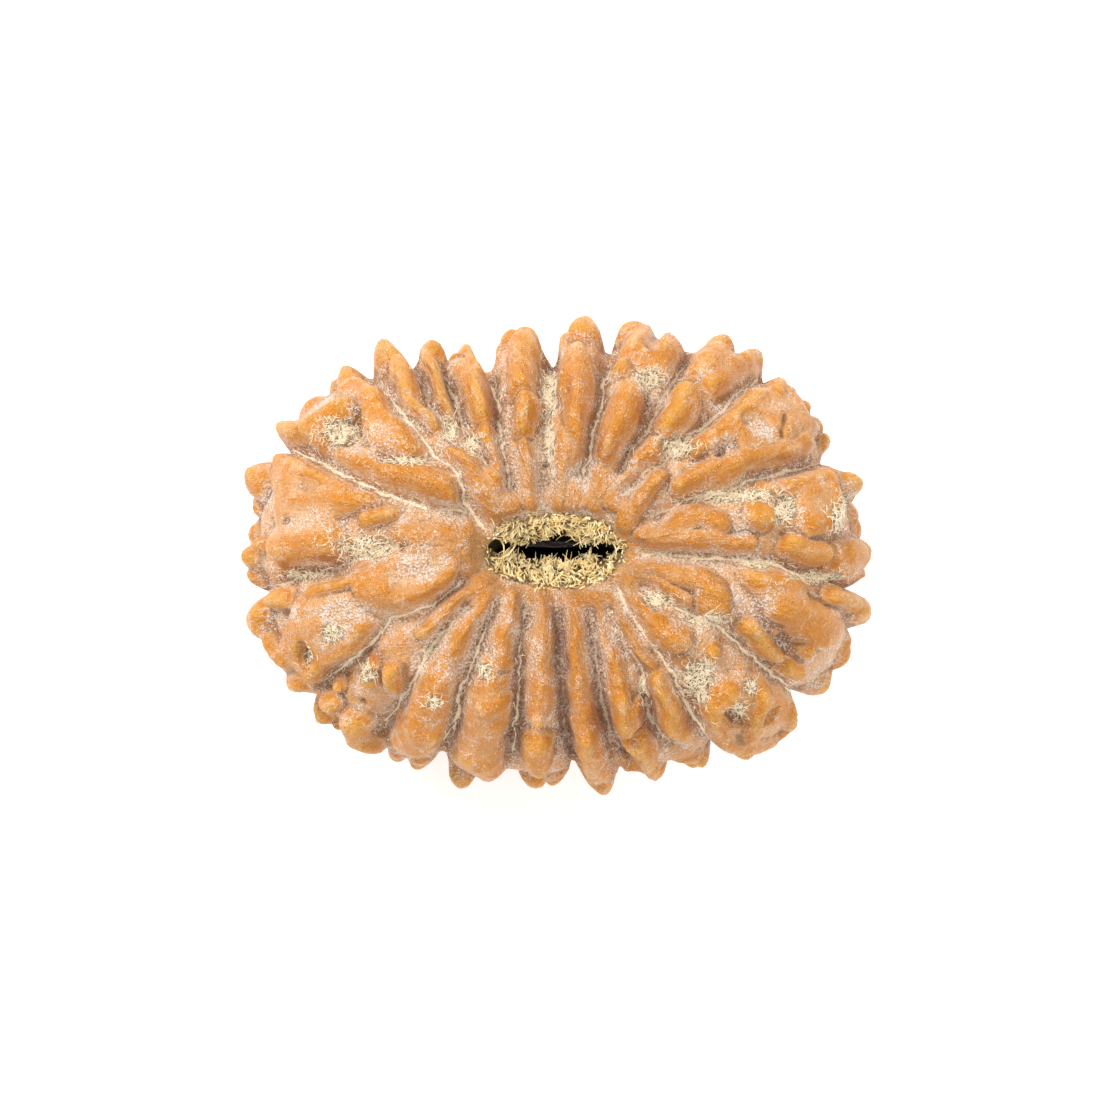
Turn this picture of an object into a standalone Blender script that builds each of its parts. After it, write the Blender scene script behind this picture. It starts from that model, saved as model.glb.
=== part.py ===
"""One rudraksha seed, the stony nut of a fruit with twenty-one faces, standing on its lower pole.

The nut grew as one piece, so it is one solid. It is turned as a plain ring-shaped body round its thread
channel, pressed oval, and then its relief is raised from that surface by a formula: rounded lobes, the
grooves between the faces, and pits. The lobes of the upper side are placed by hand, one by one. Those of
the lower side follow a rule with a seeded random draw.

+Z runs along the thread channel, +X along the nut's length, and the nut stands on Z = 0.
"""

import math
import random

import bmesh
import bpy
import numpy as np
from mathutils import Vector, noise

MM = 0.001
NAME = "rudraksha_seed"

# The body without its relief: the floor that the lobes stand on.
HALF_LENGTH = 15.3 * MM
HALF_BREADTH = 11.1 * MM
HALF_HEIGHT = 9.7 * MM
OUTLINE_POWER = 2.45
PROFILE_POWER = 2.3
OUTLINE_PULLS = ((45, 14, 0.35 * MM), (113, 13, -0.7 * MM), (210, 14, -0.45 * MM), (345, 10, 0.25 * MM))
POLE_DIP = 1.1 * MM
POLE_DIP_REACH = 0.2
SADDLE_DEPTH = 1.1 * MM
SADDLE_HALF_LENGTH = 3.6 * MM
SADDLE_HALF_BREADTH = 6.5 * MM

# The thread channel: a slit from pole to pole that widens to an oval mouth at each end. It bends a little
# across the breadth, by these shifts at the lower mouth, half way and at the upper mouth.
TURNED_CHANNEL = 3.0 * MM
SLIT = (2.9 * MM, 0.42 * MM)
UPPER_MOUTH = (3.4 * MM, 1.45 * MM)
LOWER_MOUTH = (2.9 * MM, 1.2 * MM)
MOUTH_DEPTH = 2.6 * MM
MOUTH_ROUNDING = 0.45 * MM
CHANNEL_BENDS = (-0.7 * MM, 0.95 * MM, 0.0 * MM)
BEND_FADE = 3

# How finely the body is turned, before it is reduced to the faces that its relief needs.
TURN_STEPS = 280
OUTER_STEPS = 150
CHANNEL_STEPS = 12
ROUNDING_STEPS = 3
FACE_LIMIT = 11600

# The relief.
CREST_LIFT = 0.5 * MM
LOBE_FLANK = 0.8
LOBE_FOOT = 0.28
LOBE_SPREAD = 1.32
LOBE_BLEND = 5.0
PLATEAU_EDGE = 0.9 * MM
PLATEAU_FOOT = 0.5
GROOVE_DEPTH = 0.32 * MM
GROOVE_WIDTH = 0.42 * MM
GROOVE_CUT = 0.7
FACE_SWELL = 0.55 * MM
FACE_SWELL_WIDTH = 0.95 * MM
NOTCH_START = 0.34
NOTCH_END = 0.62
MOUTH_FADE = 1.9 * MM
LEAST_RIM_LOBE = 0.5 * MM
WANDER = 0.22 * MM
WANDER_SIZE = 1.6 * MM

# The rule for the lower side.
SEED = 21
COLUMN_PITCH = 2.05 * MM
LOWER_START = 0.585
LOWER_END = 0.955
LOBE_LENGTHS = (1.2 * MM, 3.0 * MM)
LOBE_GAPS = (0.9 * MM, 1.5 * MM)
RIM_HEIGHT = 1.22 * MM
LOWER_MOUTH_HEIGHT = 0.5 * MM
START_DRAW = 0.045
SIDEWAYS_DRAW = 0.14
WIDTH_DRAW = (0.85, 1.1)
HEIGHT_DRAW = (0.75, 1.1)
COLUMN_FILL = 0.46
MOUTH_NARROWING = 0.55
GROOVE_START = 0.46
GROOVE_END = 0.99
GROOVE_SWAY = 0.05
CLOSING_START = 0.75
CLOSING = 0.75

# The flat spots that it stands on are worn off the lowest lobes.
WORN_OFF = 0.35 * MM

NUT_COLOUR = (0.62, 0.27, 0.075, 1.0)
NUT_ROUGHNESS = 0.55

# The grooves between the faces on the upper side, each from the mouth out to the rim, counter-clockwise
# from +X. In millimetres, in plan, measured from the thread channel.
UPPER_GROOVES = (
    ((4.7, 0.0), (7.2, -0.25), (9.5, -0.3), (11.5, -0.45), (12.5, -0.85), (13.5, -1.15), (16.3, -1.8)),
    ((5.3, 2.0), (7.0, 2.85), (8.5, 3.1), (9.5, 3.4), (10.2, 3.9), (12.0, 4.35), (13.3, 4.7), (14.9, 5.0)),
    ((3.8, 3.2), (4.8, 4.4), (5.6, 4.6), (6.8, 5.9), (8.2, 7.0), (9.2, 7.9), (10.0, 8.8), (11.3, 9.3)),
    ((3.5, 4.4), (4.0, 5.4), (5.0, 6.6), (5.5, 7.8), (6.0, 8.7), (7.2, 10.2)),
    ((1.5, 4.2), (1.9, 5.4), (2.2, 7.0), (2.5, 8.0), (2.75, 8.9), (2.7, 9.6), (3.1, 10.9)),
    ((-0.5, 3.8), (-0.5, 5.5), (-0.4, 7.0), (-0.3, 8.5), (-0.3, 10.0)),
    ((-2.3, 3.6), (-2.6, 5.2), (-2.9, 6.8), (-3.0, 8.2), (-3.4, 9.3), (-3.5, 10.3)),
    ((-3.6, 4.8), (-4.2, 5.7), (-4.8, 6.6), (-5.1, 7.7), (-5.6, 8.7), (-6.2, 10.2)),
    ((-5.2, 5.9), (-6.0, 7.1), (-6.8, 8.0), (-7.1, 9.2), (-8.2, 10.5)),
    ((-3.7, 1.4), (-4.6, 2.6), (-5.0, 4.2), (-6.3, 5.2), (-7.2, 6.5), (-8.1, 7.4), (-8.9, 8.5), (-10.1, 9.5)),
    ((-4.8, 2.1), (-7.0, 2.4), (-9.0, 3.2), (-10.6, 3.9), (-12.2, 4.7), (-13.3, 5.3), (-14.6, 5.5)),
    ((-7.9, 0.35), (-8.8, 0.3), (-10.2, -0.2), (-11.5, -0.75), (-13.2, -1.1), (-14.6, -1.5), (-15.8, -2.1)),
    ((-4.8, -1.5), (-6.3, -2.7), (-8.6, -3.4), (-9.2, -4.2), (-10.4, -5.3), (-11.6, -6.2), (-13.2, -7.0)),
    ((-4.5, -2.8), (-5.9, -4.2), (-6.8, -5.3), (-7.3, -6.5), (-8.3, -7.9), (-9.3, -9.3)),
    ((-3.1, -2.6), (-3.8, -4.4), (-4.4, -6.1), (-4.9, -7.1), (-5.2, -8.3), (-5.4, -9.3), (-6.2, -10.7)),
    ((-1.5, -2.9), (-1.8, -5.4), (-1.9, -7.8), (-2.1, -9.2), (-2.3, -11.0)),
    ((0.2, -3.0), (0.35, -5.5), (0.5, -8.0), (0.6, -10.0), (1.1, -11.2)),
    ((1.9, -3.2), (2.2, -5.2), (2.4, -7.0), (2.8, -8.8), (3.1, -10.2), (4.0, -11.0)),
    ((2.8, -3.0), (3.7, -4.7), (4.6, -6.0), (5.0, -7.7), (5.2, -9.0), (6.4, -10.4)),
    ((3.3, -1.8), (4.2, -3.7), (5.6, -5.4), (6.5, -6.7), (7.3, -8.4), (8.0, -9.2), (8.8, -10.3)),
    ((4.5, -1.8), (6.6, -3.0), (8.8, -4.0), (10.2, -5.2), (11.5, -6.2), (12.4, -6.9), (13.2, -7.5)),
)

# The lobes of the upper side, face by face in the same order: half width, height, and the points in plan
# that the crest runs through. In millimetres.
UPPER_LOBES = (
    # Between the first groove and the second
    (0.62, 0.75, (4.2, 0.3), (5.3, 1.1), (6.4, 1.7), (7.5, 1.9), (8.4, 1.5)),
    (0.50, 0.65, (4.0, 0.45), (5.0, 0.6), (6.6, 0.75), (8.4, 0.55), (9.9, 0.35)),
    (0.78, 1.00, (10.4, 1.85)),
    (0.50, 0.80, (11.15, 3.5)),
    (0.68, 1.00, (12.2, 0.3), (13.0, 0.05), (13.6, -0.1)),
    (0.55, 1.00, (12.3, 4.0), (13.4, 4.1), (14.0, 4.1), (14.1, 3.2), (14.25, 2.2), (13.9, 1.6), (12.9, 1.4)),
    (0.60, 0.85, (13.2, 3.1)),
    (0.75, 1.00, (14.9, 0.0), (15.7, 0.1)),
    # Second to third
    (0.50, 0.80, (3.7, 1.2), (4.0, 2.3), (4.7, 3.3), (5.3, 4.0)),
    (0.55, 0.80, (6.6, 3.4), (8.0, 4.1), (9.6, 4.5), (11.2, 4.9), (12.6, 5.4), (13.1, 5.8)),
    (0.60, 0.90, (6.8, 5.4), (7.9, 6.2), (8.9, 6.8)),
    (0.85, 1.10, (9.3, 7.2), (10.3, 8.1)),
    (0.40, 0.70, (9.4, 6.2), (9.8, 5.6), (10.8, 5.4)),
    (0.45, 1.00, (11.4, 8.0), (11.6, 8.8)),
    (0.55, 0.90, (12.1, 7.9), (12.5, 7.2)),
    (0.50, 0.70, (12.8, 6.5)),
    # Third to fourth
    (0.55, 0.55, (3.3, 2.9), (3.7, 3.4), (4.3, 4.3), (4.7, 5.0), (5.1, 5.7)),
    (0.95, 1.20, (6.3, 6.7), (6.7, 7.8)),
    (0.90, 1.10, (7.9, 9.6), (8.6, 10.1)),
    (0.55, 0.80, (8.4, 8.7), (9.6, 8.9)),
    (0.60, 0.90, (9.3, 9.5), (10.3, 9.3)),
    (0.60, 1.20, (10.6, 9.8), (10.9, 10.1)),
    # Fourth to fifth
    (0.55, 0.42, (2.15, 2.9), (2.5, 3.4), (2.9, 4.7)),
    (0.88, 1.15, (2.9, 5.6), (3.4, 6.8), (3.8, 7.8)),
    (1.10, 1.30, (4.5, 10.3), (5.6, 10.3)),
    (0.55, 0.90, (3.6, 9.7)),
    (0.60, 0.90, (6.4, 10.0)),
    # Fifth to sixth
    (0.58, 0.55, (0.45, 2.9), (0.45, 4.8), (0.6, 6.0)),
    (0.45, 0.42, (1.15, 2.9), (1.25, 4.8), (1.5, 6.4)),
    (0.82, 1.30, (1.5, 6.4), (1.3, 8.2), (1.15, 10.0)),
    # Sixth to seventh
    (0.42, 0.45, (-1.35, 2.8), (-1.5, 3.2), (-1.45, 4.6), (-1.6, 5.6)),
    (0.62, 1.20, (-1.6, 6.5), (-1.4, 7.5)),
    (0.70, 1.15, (-1.75, 8.6), (-1.65, 10.0), (-1.35, 11.0)),
    # Seventh to eighth
    (0.55, 0.60, (-2.5, 2.7), (-2.9, 3.2), (-3.3, 4.6), (-3.6, 6.2)),
    (0.62, 1.20, (-3.8, 7.2), (-4.2, 8.6), (-4.25, 9.8)),
    (0.50, 1.00, (-4.9, 8.3), (-5.3, 9.6)),
    # Eighth to ninth
    (0.52, 1.10, (-5.4, 7.4), (-6.1, 8.3), (-6.4, 9.3), (-6.9, 10.1)),
    # Ninth to tenth
    (0.48, 0.55, (-3.25, 2.2), (-3.4, 2.4), (-3.9, 3.6), (-4.6, 4.7), (-5.2, 5.1)),
    (0.60, 1.10, (-6.3, 6.9), (-7.3, 7.6), (-7.8, 8.7), (-8.3, 9.7)),
    (0.80, 1.30, (-8.7, 9.9), (-9.6, 10.3)),
    # Tenth to eleventh
    (0.70, 0.80, (-5.3, 3.4), (-6.4, 3.8), (-7.6, 3.9), (-8.6, 3.8)),
    (0.45, 0.60, (-9.5, 4.5), (-10.7, 4.8)),
    (0.75, 0.80, (-7.3, 5.6), (-8.3, 6.6), (-9.2, 7.5)),
    (0.75, 1.10, (-9.5, 8.0)),
    (0.55, 1.10, (-10.6, 8.9), (-10.8, 9.3)),
    (0.58, 1.20, (-10.9, 7.3), (-11.8, 6.7), (-12.8, 6.0)),
    (0.60, 1.20, (-13.3, 6.0), (-14.1, 6.2)),
    # Eleventh to twelfth
    (0.55, 0.65, (-3.9, 0.8), (-4.7, 1.15), (-5.7, 1.2)),
    (0.40, 0.55, (-6.6, 0.85), (-8.0, 0.7)),
    (0.42, 0.65, (-8.4, 2.1), (-9.6, 1.75)),
    (0.50, 0.80, (-9.6, 2.85), (-11.0, 2.75), (-12.6, 2.7), (-13.6, 3.0), (-13.7, 4.2)),
    (0.50, 0.90, (-10.9, 3.6), (-12.3, 4.1), (-13.5, 4.6), (-14.3, 5.0)),
    (0.98, 1.30, (-15.1, 4.1)),
    (0.80, 1.00, (-11.7, 0.5), (-13.0, 0.4), (-14.1, 0.2)),
    (0.45, 0.80, (-14.0, -0.7)),
    (0.40, 0.80, (-15.2, 0.6)),
    # Twelfth to thirteenth
    (0.60, 0.75, (-4.1, 0.3), (-4.3, -0.3), (-5.1, -0.8), (-6.1, -1.6), (-7.3, -2.2), (-8.5, -2.2)),
    (0.75, 0.80, (-8.8, -1.9), (-9.6, -1.6)),
    (0.32, 0.60, (-10.3, -1.4), (-11.4, -1.6), (-12.7, -1.95)),
    (0.50, 0.90, (-14.0, -2.2), (-14.8, -2.2)),
    (0.60, 1.10, (-15.7, -2.9), (-15.0, -3.6)),
    (0.55, 0.90, (-14.6, -4.3), (-13.9, -5.2)),
    (0.55, 0.60, (-12.2, -3.4), (-13.0, -3.8)),
    (0.55, 0.80, (-9.7, -3.9), (-10.7, -4.8), (-11.8, -5.5), (-12.8, -6.1)),
    (0.62, 1.10, (-13.2, -6.3), (-13.7, -6.5)),
    # Thirteenth to fourteenth
    (0.40, 0.55, (-3.6, -1.4), (-4.6, -2.2), (-5.6, -2.9), (-6.9, -4.1)),
    (0.50, 0.90, (-9.6, -5.6), (-9.6, -6.3)),
    (0.45, 0.90, (-8.4, -5.9), (-8.3, -7.0)),
    (0.45, 0.90, (-11.6, -6.7)),
    (0.55, 1.00, (-11.5, -7.5), (-12.0, -7.3)),
    (0.95, 1.20, (-10.3, -8.6), (-10.1, -9.1)),
    # Fourteenth to fifteenth
    (0.68, 0.62, (-3.3, -2.3), (-4.0, -3.0), (-4.8, -3.8), (-5.6, -5.2), (-6.3, -6.5)),
    (0.80, 1.00, (-7.3, -8.5), (-6.9, -9.2)),
    (0.50, 1.10, (-6.4, -9.1)),
    # Fifteenth to sixteenth
    (0.62, 0.60, (-2.1, -2.4), (-2.8, -4.2), (-2.65, -5.4)),
    (0.60, 0.70, (-3.6, -5.8), (-3.4, -6.8)),
    (0.60, 1.00, (-3.8, -7.6), (-2.9, -7.5)),
    (0.40, 0.80, (-3.2, -8.5)),
    (0.72, 1.10, (-4.4, -10.2), (-3.7, -10.5)),
    # Sixteenth to seventeenth
    (0.66, 0.62, (-0.75, -2.5), (-0.75, -4.5), (-0.9, -6.5), (-0.85, -8.2)),
    (0.45, 1.00, (-0.85, -8.4)),
    (0.80, 1.20, (-1.0, -9.8), (-1.0, -10.6)),
    # Seventeenth to eighteenth
    (0.68, 0.70, (1.15, -2.5), (1.3, -2.9), (1.2, -4.8), (1.2, -6.6), (1.4, -8.2)),
    (0.62, 1.10, (1.6, -9.4), (1.95, -10.8)),
    # Eighteenth to nineteenth
    (0.58, 0.66, (2.2, -2.7), (2.6, -3.8), (3.0, -5.4), (3.2, -7.0)),
    (0.60, 1.10, (3.3, -7.4), (3.8, -8.8)),
    (0.45, 0.90, (4.3, -7.9), (4.5, -8.6)),
    (0.80, 1.10, (4.4, -9.8), (4.9, -10.5)),
    # Nineteenth to twentieth
    (0.45, 0.50, (3.0, -2.4), (3.4, -3.2), (4.1, -4.5), (4.9, -5.7)),
    (0.70, 1.00, (5.5, -6.7), (5.8, -7.8), (6.3, -9.0)),
    (0.50, 0.90, (6.8, -8.6), (7.1, -9.2)),
    # Twentieth to twenty-first
    (0.55, 0.80, (3.4, -1.1), (3.7, -1.7), (4.1, -2.6), (4.9, -3.7)),
    (0.90, 1.10, (5.5, -4.1), (6.0, -4.3)),
    (0.42, 0.60, (8.2, -4.8)),
    (0.45, 0.50, (6.7, -5.7)),
    (0.65, 1.10, (8.9, -6.8), (8.2, -7.6), (8.2, -8.8), (8.9, -9.5)),
    (0.55, 1.10, (8.9, -9.5), (10.2, -9.4), (11.6, -9.1), (12.4, -8.4), (12.5, -7.8)),
    (0.60, 1.10, (11.0, -6.9), (10.5, -7.8), (10.2, -8.9)),
    # Twenty-first back to the first
    (0.60, 0.75, (3.9, -0.2), (5.4, -0.6), (6.6, -0.9), (7.7, -1.4)),
    (0.78, 1.00, (8.1, -2.0), (8.1, -2.6)),
    (0.40, 0.50, (4.4, -1.1), (5.6, -1.8), (6.8, -2.4)),
    (0.48, 0.90, (10.3, -1.2), (11.5, -1.5), (12.6, -1.5)),
    (0.92, 1.10, (11.6, -2.4), (12.8, -3.0), (13.8, -3.8)),
    (0.62, 1.00, (9.9, -3.8), (10.6, -4.6), (11.5, -5.4)),
    (0.60, 1.00, (12.2, -6.0), (12.6, -6.2)),
    (0.35, 0.80, (13.1, -5.0), (13.3, -4.4)),
    (0.55, 1.00, (14.4, -2.1), (15.3, -2.4), (15.9, -3.0)),
)

# The broad lobes with level tops: height, and the corners of the outline in plan. In millimetres.
UPPER_PLATEAUS = (
    (0.80, (-11.1, 9.2), (-10.2, 9.5), (-9.0, 8.3), (-7.9, 7.1), (-6.6, 5.6), (-7.4, 5.0), (-8.9, 5.4),
     (-9.3, 6.1), (-9.6, 6.9), (-9.9, 7.7), (-10.9, 8.2)),
    (0.95, (-11.0, 7.5), (-12.3, 6.9), (-13.3, 6.5), (-14.4, 6.6), (-14.4, 5.6), (-13.2, 5.4), (-12.2, 5.4),
     (-11.6, 6.2), (-11.0, 6.7)),
    (0.45, (-11.2, 5.2), (-9.2, 5.1), (-9.0, 4.3), (-9.4, 3.9), (-10.3, 4.2), (-11.3, 4.7)),
    (0.80, (-8.9, 4.2), (-7.2, 4.5), (-5.9, 4.2), (-4.9, 3.9), (-4.75, 2.4), (-5.8, 2.6), (-7.0, 3.0), (-8.6, 3.6)),
    (0.75, (-14.4, 5.3), (-13.1, 5.0), (-12.1, 4.4), (-10.7, 3.8), (-9.4, 3.1), (-10.0, 2.4), (-11.2, 2.0),
     (-11.0, 1.2), (-11.1, 0.1), (-11.9, -0.4), (-14.2, -0.4), (-14.5, 0.6), (-13.9, 1.3), (-14.1, 3.1)),
    (0.60, (-4.0, 1.5), (-5.6, 1.5), (-7.6, 1.1), (-8.2, 0.5), (-8.3, -0.6), (-9.4, -0.95), (-10.3, -1.3),
     (-9.8, -2.0), (-9.3, -2.7), (-8.6, -3.05), (-7.4, -2.9), (-6.4, -2.5), (-5.2, -1.2), (-4.1, -0.6)),
    (0.50, (-13.1, -2.4), (-10.5, -2.2), (-9.9, -2.9), (-9.2, -3.6), (-9.4, -4.2), (-10.5, -5.1), (-11.8, -6.0),
     (-12.8, -6.6), (-13.9, -6.6), (-14.4, -5.2), (-13.6, -3.6)),
    (0.70, (-7.6, -6.9), (-6.9, -6.0), (-5.3, -6.0), (-5.5, -9.0), (-6.2, -10.0), (-7.3, -10.1), (-8.3, -9.6),
     (-8.1, -8.3)),
    (0.65, (-4.7, -6.6), (-2.6, -6.4), (-2.5, -8.6), (-3.0, -9.5), (-2.9, -11.0), (-3.5, -11.5), (-4.4, -11.0),
     (-5.2, -10.6), (-4.9, -9.2)),
    (0.80, (0.9, -8.4), (1.9, -8.6), (2.7, -10.2), (2.7, -11.3), (1.8, -11.6), (1.2, -10.8)),
    (0.55, (8.5, -6.3), (9.5, -6.1), (10.1, -6.6), (11.5, -6.4), (12.6, -7.2), (12.6, -8.4), (11.8, -9.2),
     (9.9, -9.9), (8.3, -9.7), (7.7, -8.6), (7.9, -7.3)),
    (0.85, (10.0, -0.6), (11.2, -0.7), (12.9, -1.3), (12.6, -1.9), (13.0, -2.6), (14.2, -3.0), (14.3, -3.9),
     (13.6, -4.6), (12.8, -4.3), (11.9, -3.5), (10.9, -2.6), (10.2, -1.8), (9.7, -1.0)),
    (0.80, (14.6, 0.5), (15.9, 0.6), (16.1, -0.9), (15.3, -1.2), (14.3, -0.8)),
    (0.85, (12.6, 1.1), (13.9, 1.2), (14.4, 1.9), (14.3, 3.0), (14.0, 3.3), (14.4, 4.6), (13.6, 4.7), (12.1, 4.3),
     (11.7, 4.0), (11.8, 3.4), (12.6, 3.2), (12.6, 2.4), (12.3, 1.8)),
    (0.65, (7.2, 3.2), (8.5, 3.4), (10.0, 4.2), (11.8, 4.6), (13.1, 5.0), (13.3, 5.7), (12.5, 5.9), (11.4, 5.4),
     (10.0, 5.2), (8.5, 4.7), (6.9, 4.1)),
    (0.80, (7.4, 5.9), (8.1, 6.8), (9.2, 7.9), (9.7, 8.5), (10.4, 8.7), (10.9, 8.3), (11.6, 9.0), (12.1, 8.4),
     (12.7, 7.1), (13.4, 6.5), (12.3, 6.1), (11.4, 5.6), (10.1, 5.5), (9.3, 5.9), (8.5, 5.9), (7.9, 5.5)),
    (0.75, (7.4, 10.3), (8.9, 10.5), (9.4, 10.0), (10.0, 10.4), (10.9, 10.5), (11.2, 9.9), (11.0, 9.0),
     (10.2, 8.85), (9.3, 8.9), (8.3, 8.7), (7.4, 9.3)),
    (1.00, (3.5, 9.9), (3.9, 11.0), (4.5, 11.6), (5.5, 11.3), (6.5, 10.6), (6.9, 10.0), (5.6, 9.4), (4.4, 9.6)),
)

# The lobes that make the outline seen from above: half width, the tip in plan, and the heights above the
# widest level between which the lobe runs. In millimetres.
RIM_LOBES = (
    (0.75, (16.4, 0.2), 2.0, -0.6),
    (0.70, (15.8, 2.2), 1.2, -1.8),
    (0.58, (16.2, 3.95), 2.4, 1.6),
    (0.45, (15.1, 5.1), 0.8, -2.2),
    (0.50, (14.8, 6.0), 2.6, 1.4),
    (0.55, (13.9, 6.9), 1.0, -1.4),
    (0.45, (13.5, 7.9), 2.0, 1.0),
    (0.42, (12.75, 8.8), 1.2, -0.4),
    (0.75, (12.2, 9.9), 1.6, -1.0),
    (0.60, (10.9, 10.5), 3.2, 1.6),
    (0.75, (9.5, 11.4), 1.4, -1.0),
    (0.45, (7.6, 11.1), 0.0, -2.4),
    (0.50, (6.6, 11.3), 0.8, -2.0),
    (0.60, (5.6, 11.6), 2.0, -0.4),
    (0.78, (4.55, 12.35), 2.0, -0.6),
    (0.60, (2.6, 12.1), 1.0, -2.0),
    (0.75, (1.75, 12.6), 2.8, 0.0),
    (0.60, (-0.9, 11.5), 3.6, 2.0),
    (0.75, (-2.2, 11.9), 1.6, -1.2),
    (0.55, (-4.5, 11.2), 0.8, -1.8),
    (0.50, (-5.9, 10.9), 0.4, -2.2),
    (0.62, (-7.4, 11.3), 2.4, -0.4),
    (0.45, (-8.3, 10.8), 0.2, -2.4),
    (0.75, (-9.7, 11.0), 2.6, -0.2),
    (0.30, (-11.3, 9.8), 3.2, 2.6),
    (0.45, (-11.7, 9.1), 1.0, -1.6),
    (0.75, (-13.0, 7.8), 1.4, -1.0),
    (0.58, (-14.5, 6.3), 2.8, 1.4),
    (0.90, (-16.0, 4.1), 3.0, 1.4),
    (0.50, (-15.8, 2.6), 1.8, -0.2),
    (0.50, (-16.1, 1.2), 1.6, -0.4),
    (0.62, (-16.5, -0.1), 2.2, 0.0),
    (0.62, (-16.4, -1.3), 1.6, -0.8),
    (0.70, (-16.3, -3.0), 3.0, 1.8),
    (0.80, (-15.2, -4.8), 0.8, -2.0),
    (0.60, (-13.8, -7.1), 2.8, 1.6),
    (0.55, (-12.75, -8.4), 1.2, -1.2),
    (0.40, (-11.8, -8.8), 0.8, -1.6),
    (0.85, (-10.4, -10.1), 3.0, 1.2),
    (0.55, (-8.8, -10.5), 1.0, -1.6),
    (0.65, (-7.3, -11.0), 1.2, -1.2),
    (0.62, (-5.5, -12.1), 1.8, -0.6),
    (0.60, (-3.6, -11.9), 1.8, -0.4),
    (0.45, (-1.1, -12.2), 2.2, 0.0),
    (0.80, (0.0, -11.8), 0.2, -2.6),
    (0.85, (2.75, -12.5), 1.6, -1.0),
    (0.80, (5.1, -11.9), 2.4, -0.2),
    (0.80, (7.4, -11.0), 1.8, -0.6),
    (0.50, (8.5, -11.0), 0.8, -1.6),
    (0.75, (10.6, -10.4), 1.0, -1.6),
    (0.75, (12.9, -8.4), 3.0, 1.4),
    (0.75, (14.5, -6.9), 1.4, -1.2),
    (0.60, (15.5, -4.6), 1.2, -1.4),
    (0.70, (16.7, -3.0), 2.4, 0.0),
    (0.60, (16.9, -1.4), 1.4, -0.6),
)

# Notches between the rim lobes: half width and depth in millimetres, and the azimuth in degrees.
RIM_NOTCHES = (
    (0.62, 1.5, 91),
    (0.70, 0.9, 110),
    (0.60, 0.6, 75),
    (0.50, 0.6, 63),
    (0.50, 0.5, 276),
    (0.60, 0.5, 292),
    (0.50, 0.5, 241),
)

# Pits between the lobes: radius, depth, and the points in plan that the pit runs through. In millimetres.
UPPER_PITS = (
    (0.42, 1.25, (-12.9, -4.6), (-12.95, -5.3)),
    (0.45, 0.80, (9.2, -8.0), (9.6, -8.4)),
    (0.38, 0.80, (10.9, -8.4), (11.4, -7.9)),
    (0.45, 0.60, (-14.8, 1.7)),
    (0.42, 0.60, (13.3, -2.1)),
    (0.50, 0.60, (12.0, -4.4), (12.4, -5.0)),
    (0.50, 0.60, (-10.4, 7.1), (-10.4, 6.3), (-10.9, 5.8)),
    (0.30, 0.50, (11.65, 6.05)),
    (0.75, 0.40, (10.0, 6.5), (10.7, 6.3)),
    (0.35, 0.40, (-0.4, 4.6)),
    (0.35, 0.50, (5.1, 9.2), (4.9, 8.2)),
    (0.40, 0.40, (8.5, 5.3)),
    (0.55, 0.30, (-12.8, 3.6), (-12.3, 3.4)),
    (1.05, 0.40, (-7.6, -1.2), (-6.5, -0.5)),
    (0.22, 0.40, (-13.6, 1.55), (-13.3, 1.5)),
    (0.25, 0.25, (11.8, 6.8), (11.7, 6.4)),
    (0.35, 0.40, (-10.2, -7.7)),
)


def turned_profile():
    """The outer side of the ring's section, from the upper mouth to the lower: arrays of radius and height."""
    reach = np.linspace(0.0, math.pi / 2, 400)
    outward = np.sin(reach) ** (2 / PROFILE_POWER)
    rise = HALF_HEIGHT * np.cos(reach) ** (2 / PROFILE_POWER)
    rise -= POLE_DIP * np.exp(-((outward / POLE_DIP_REACH) ** 2))
    radius = TURNED_CHANNEL + MOUTH_ROUNDING + (HALF_LENGTH - TURNED_CHANNEL - MOUTH_ROUNDING) * outward
    radius = np.concatenate([radius, radius[-2::-1]])
    height = np.concatenate([rise, -rise[-2::-1]])
    along = np.concatenate([[0.0], np.cumsum(np.hypot(np.diff(radius), np.diff(height)))])
    even = np.linspace(0.0, along[-1], OUTER_STEPS + 1)
    return np.interp(even, along, radius), np.interp(even, along, height)


PROFILE_RADIUS, PROFILE_HEIGHT = turned_profile()
MOUTH_LEVEL = PROFILE_HEIGHT[0] - MOUTH_ROUNDING


def oval_radius(azimuth, half_axes, power=2.0):
    """How far an oval with these half axes reaches in each direction."""
    length, breadth = half_axes
    along = (np.abs(np.cos(azimuth)) / length) ** power
    across = (np.abs(np.sin(azimuth)) / breadth) ** power
    return (along + across) ** (-1 / power)


def outline_radius(azimuth):
    """The body's outline seen from above: an oval, pulled in or out a little where the seed grew so."""
    reach = oval_radius(azimuth, (HALF_LENGTH, HALF_BREADTH), OUTLINE_POWER)
    for place, width, pull in OUTLINE_PULLS:
        away = (np.degrees(azimuth) - place + 180) % 360 - 180
        reach = reach + pull * np.exp(-((away / width) ** 2))
    return reach


def channel_radius(azimuth, height):
    """The thread channel's own radius: a slit inside, widening to the mouth at each end."""
    depth = np.clip((MOUTH_LEVEL + MOUTH_ROUNDING - np.abs(height)) / MOUTH_DEPTH, 0.0, 1.0)
    opening = (1 - depth) ** 2 * (1 + 2 * depth)
    slit = oval_radius(azimuth, SLIT)
    upper = oval_radius(azimuth, UPPER_MOUTH)
    lower = oval_radius(azimuth, LOWER_MOUTH)
    return slit + opening * (np.where(height > 0, upper, lower) - slit)


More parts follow.
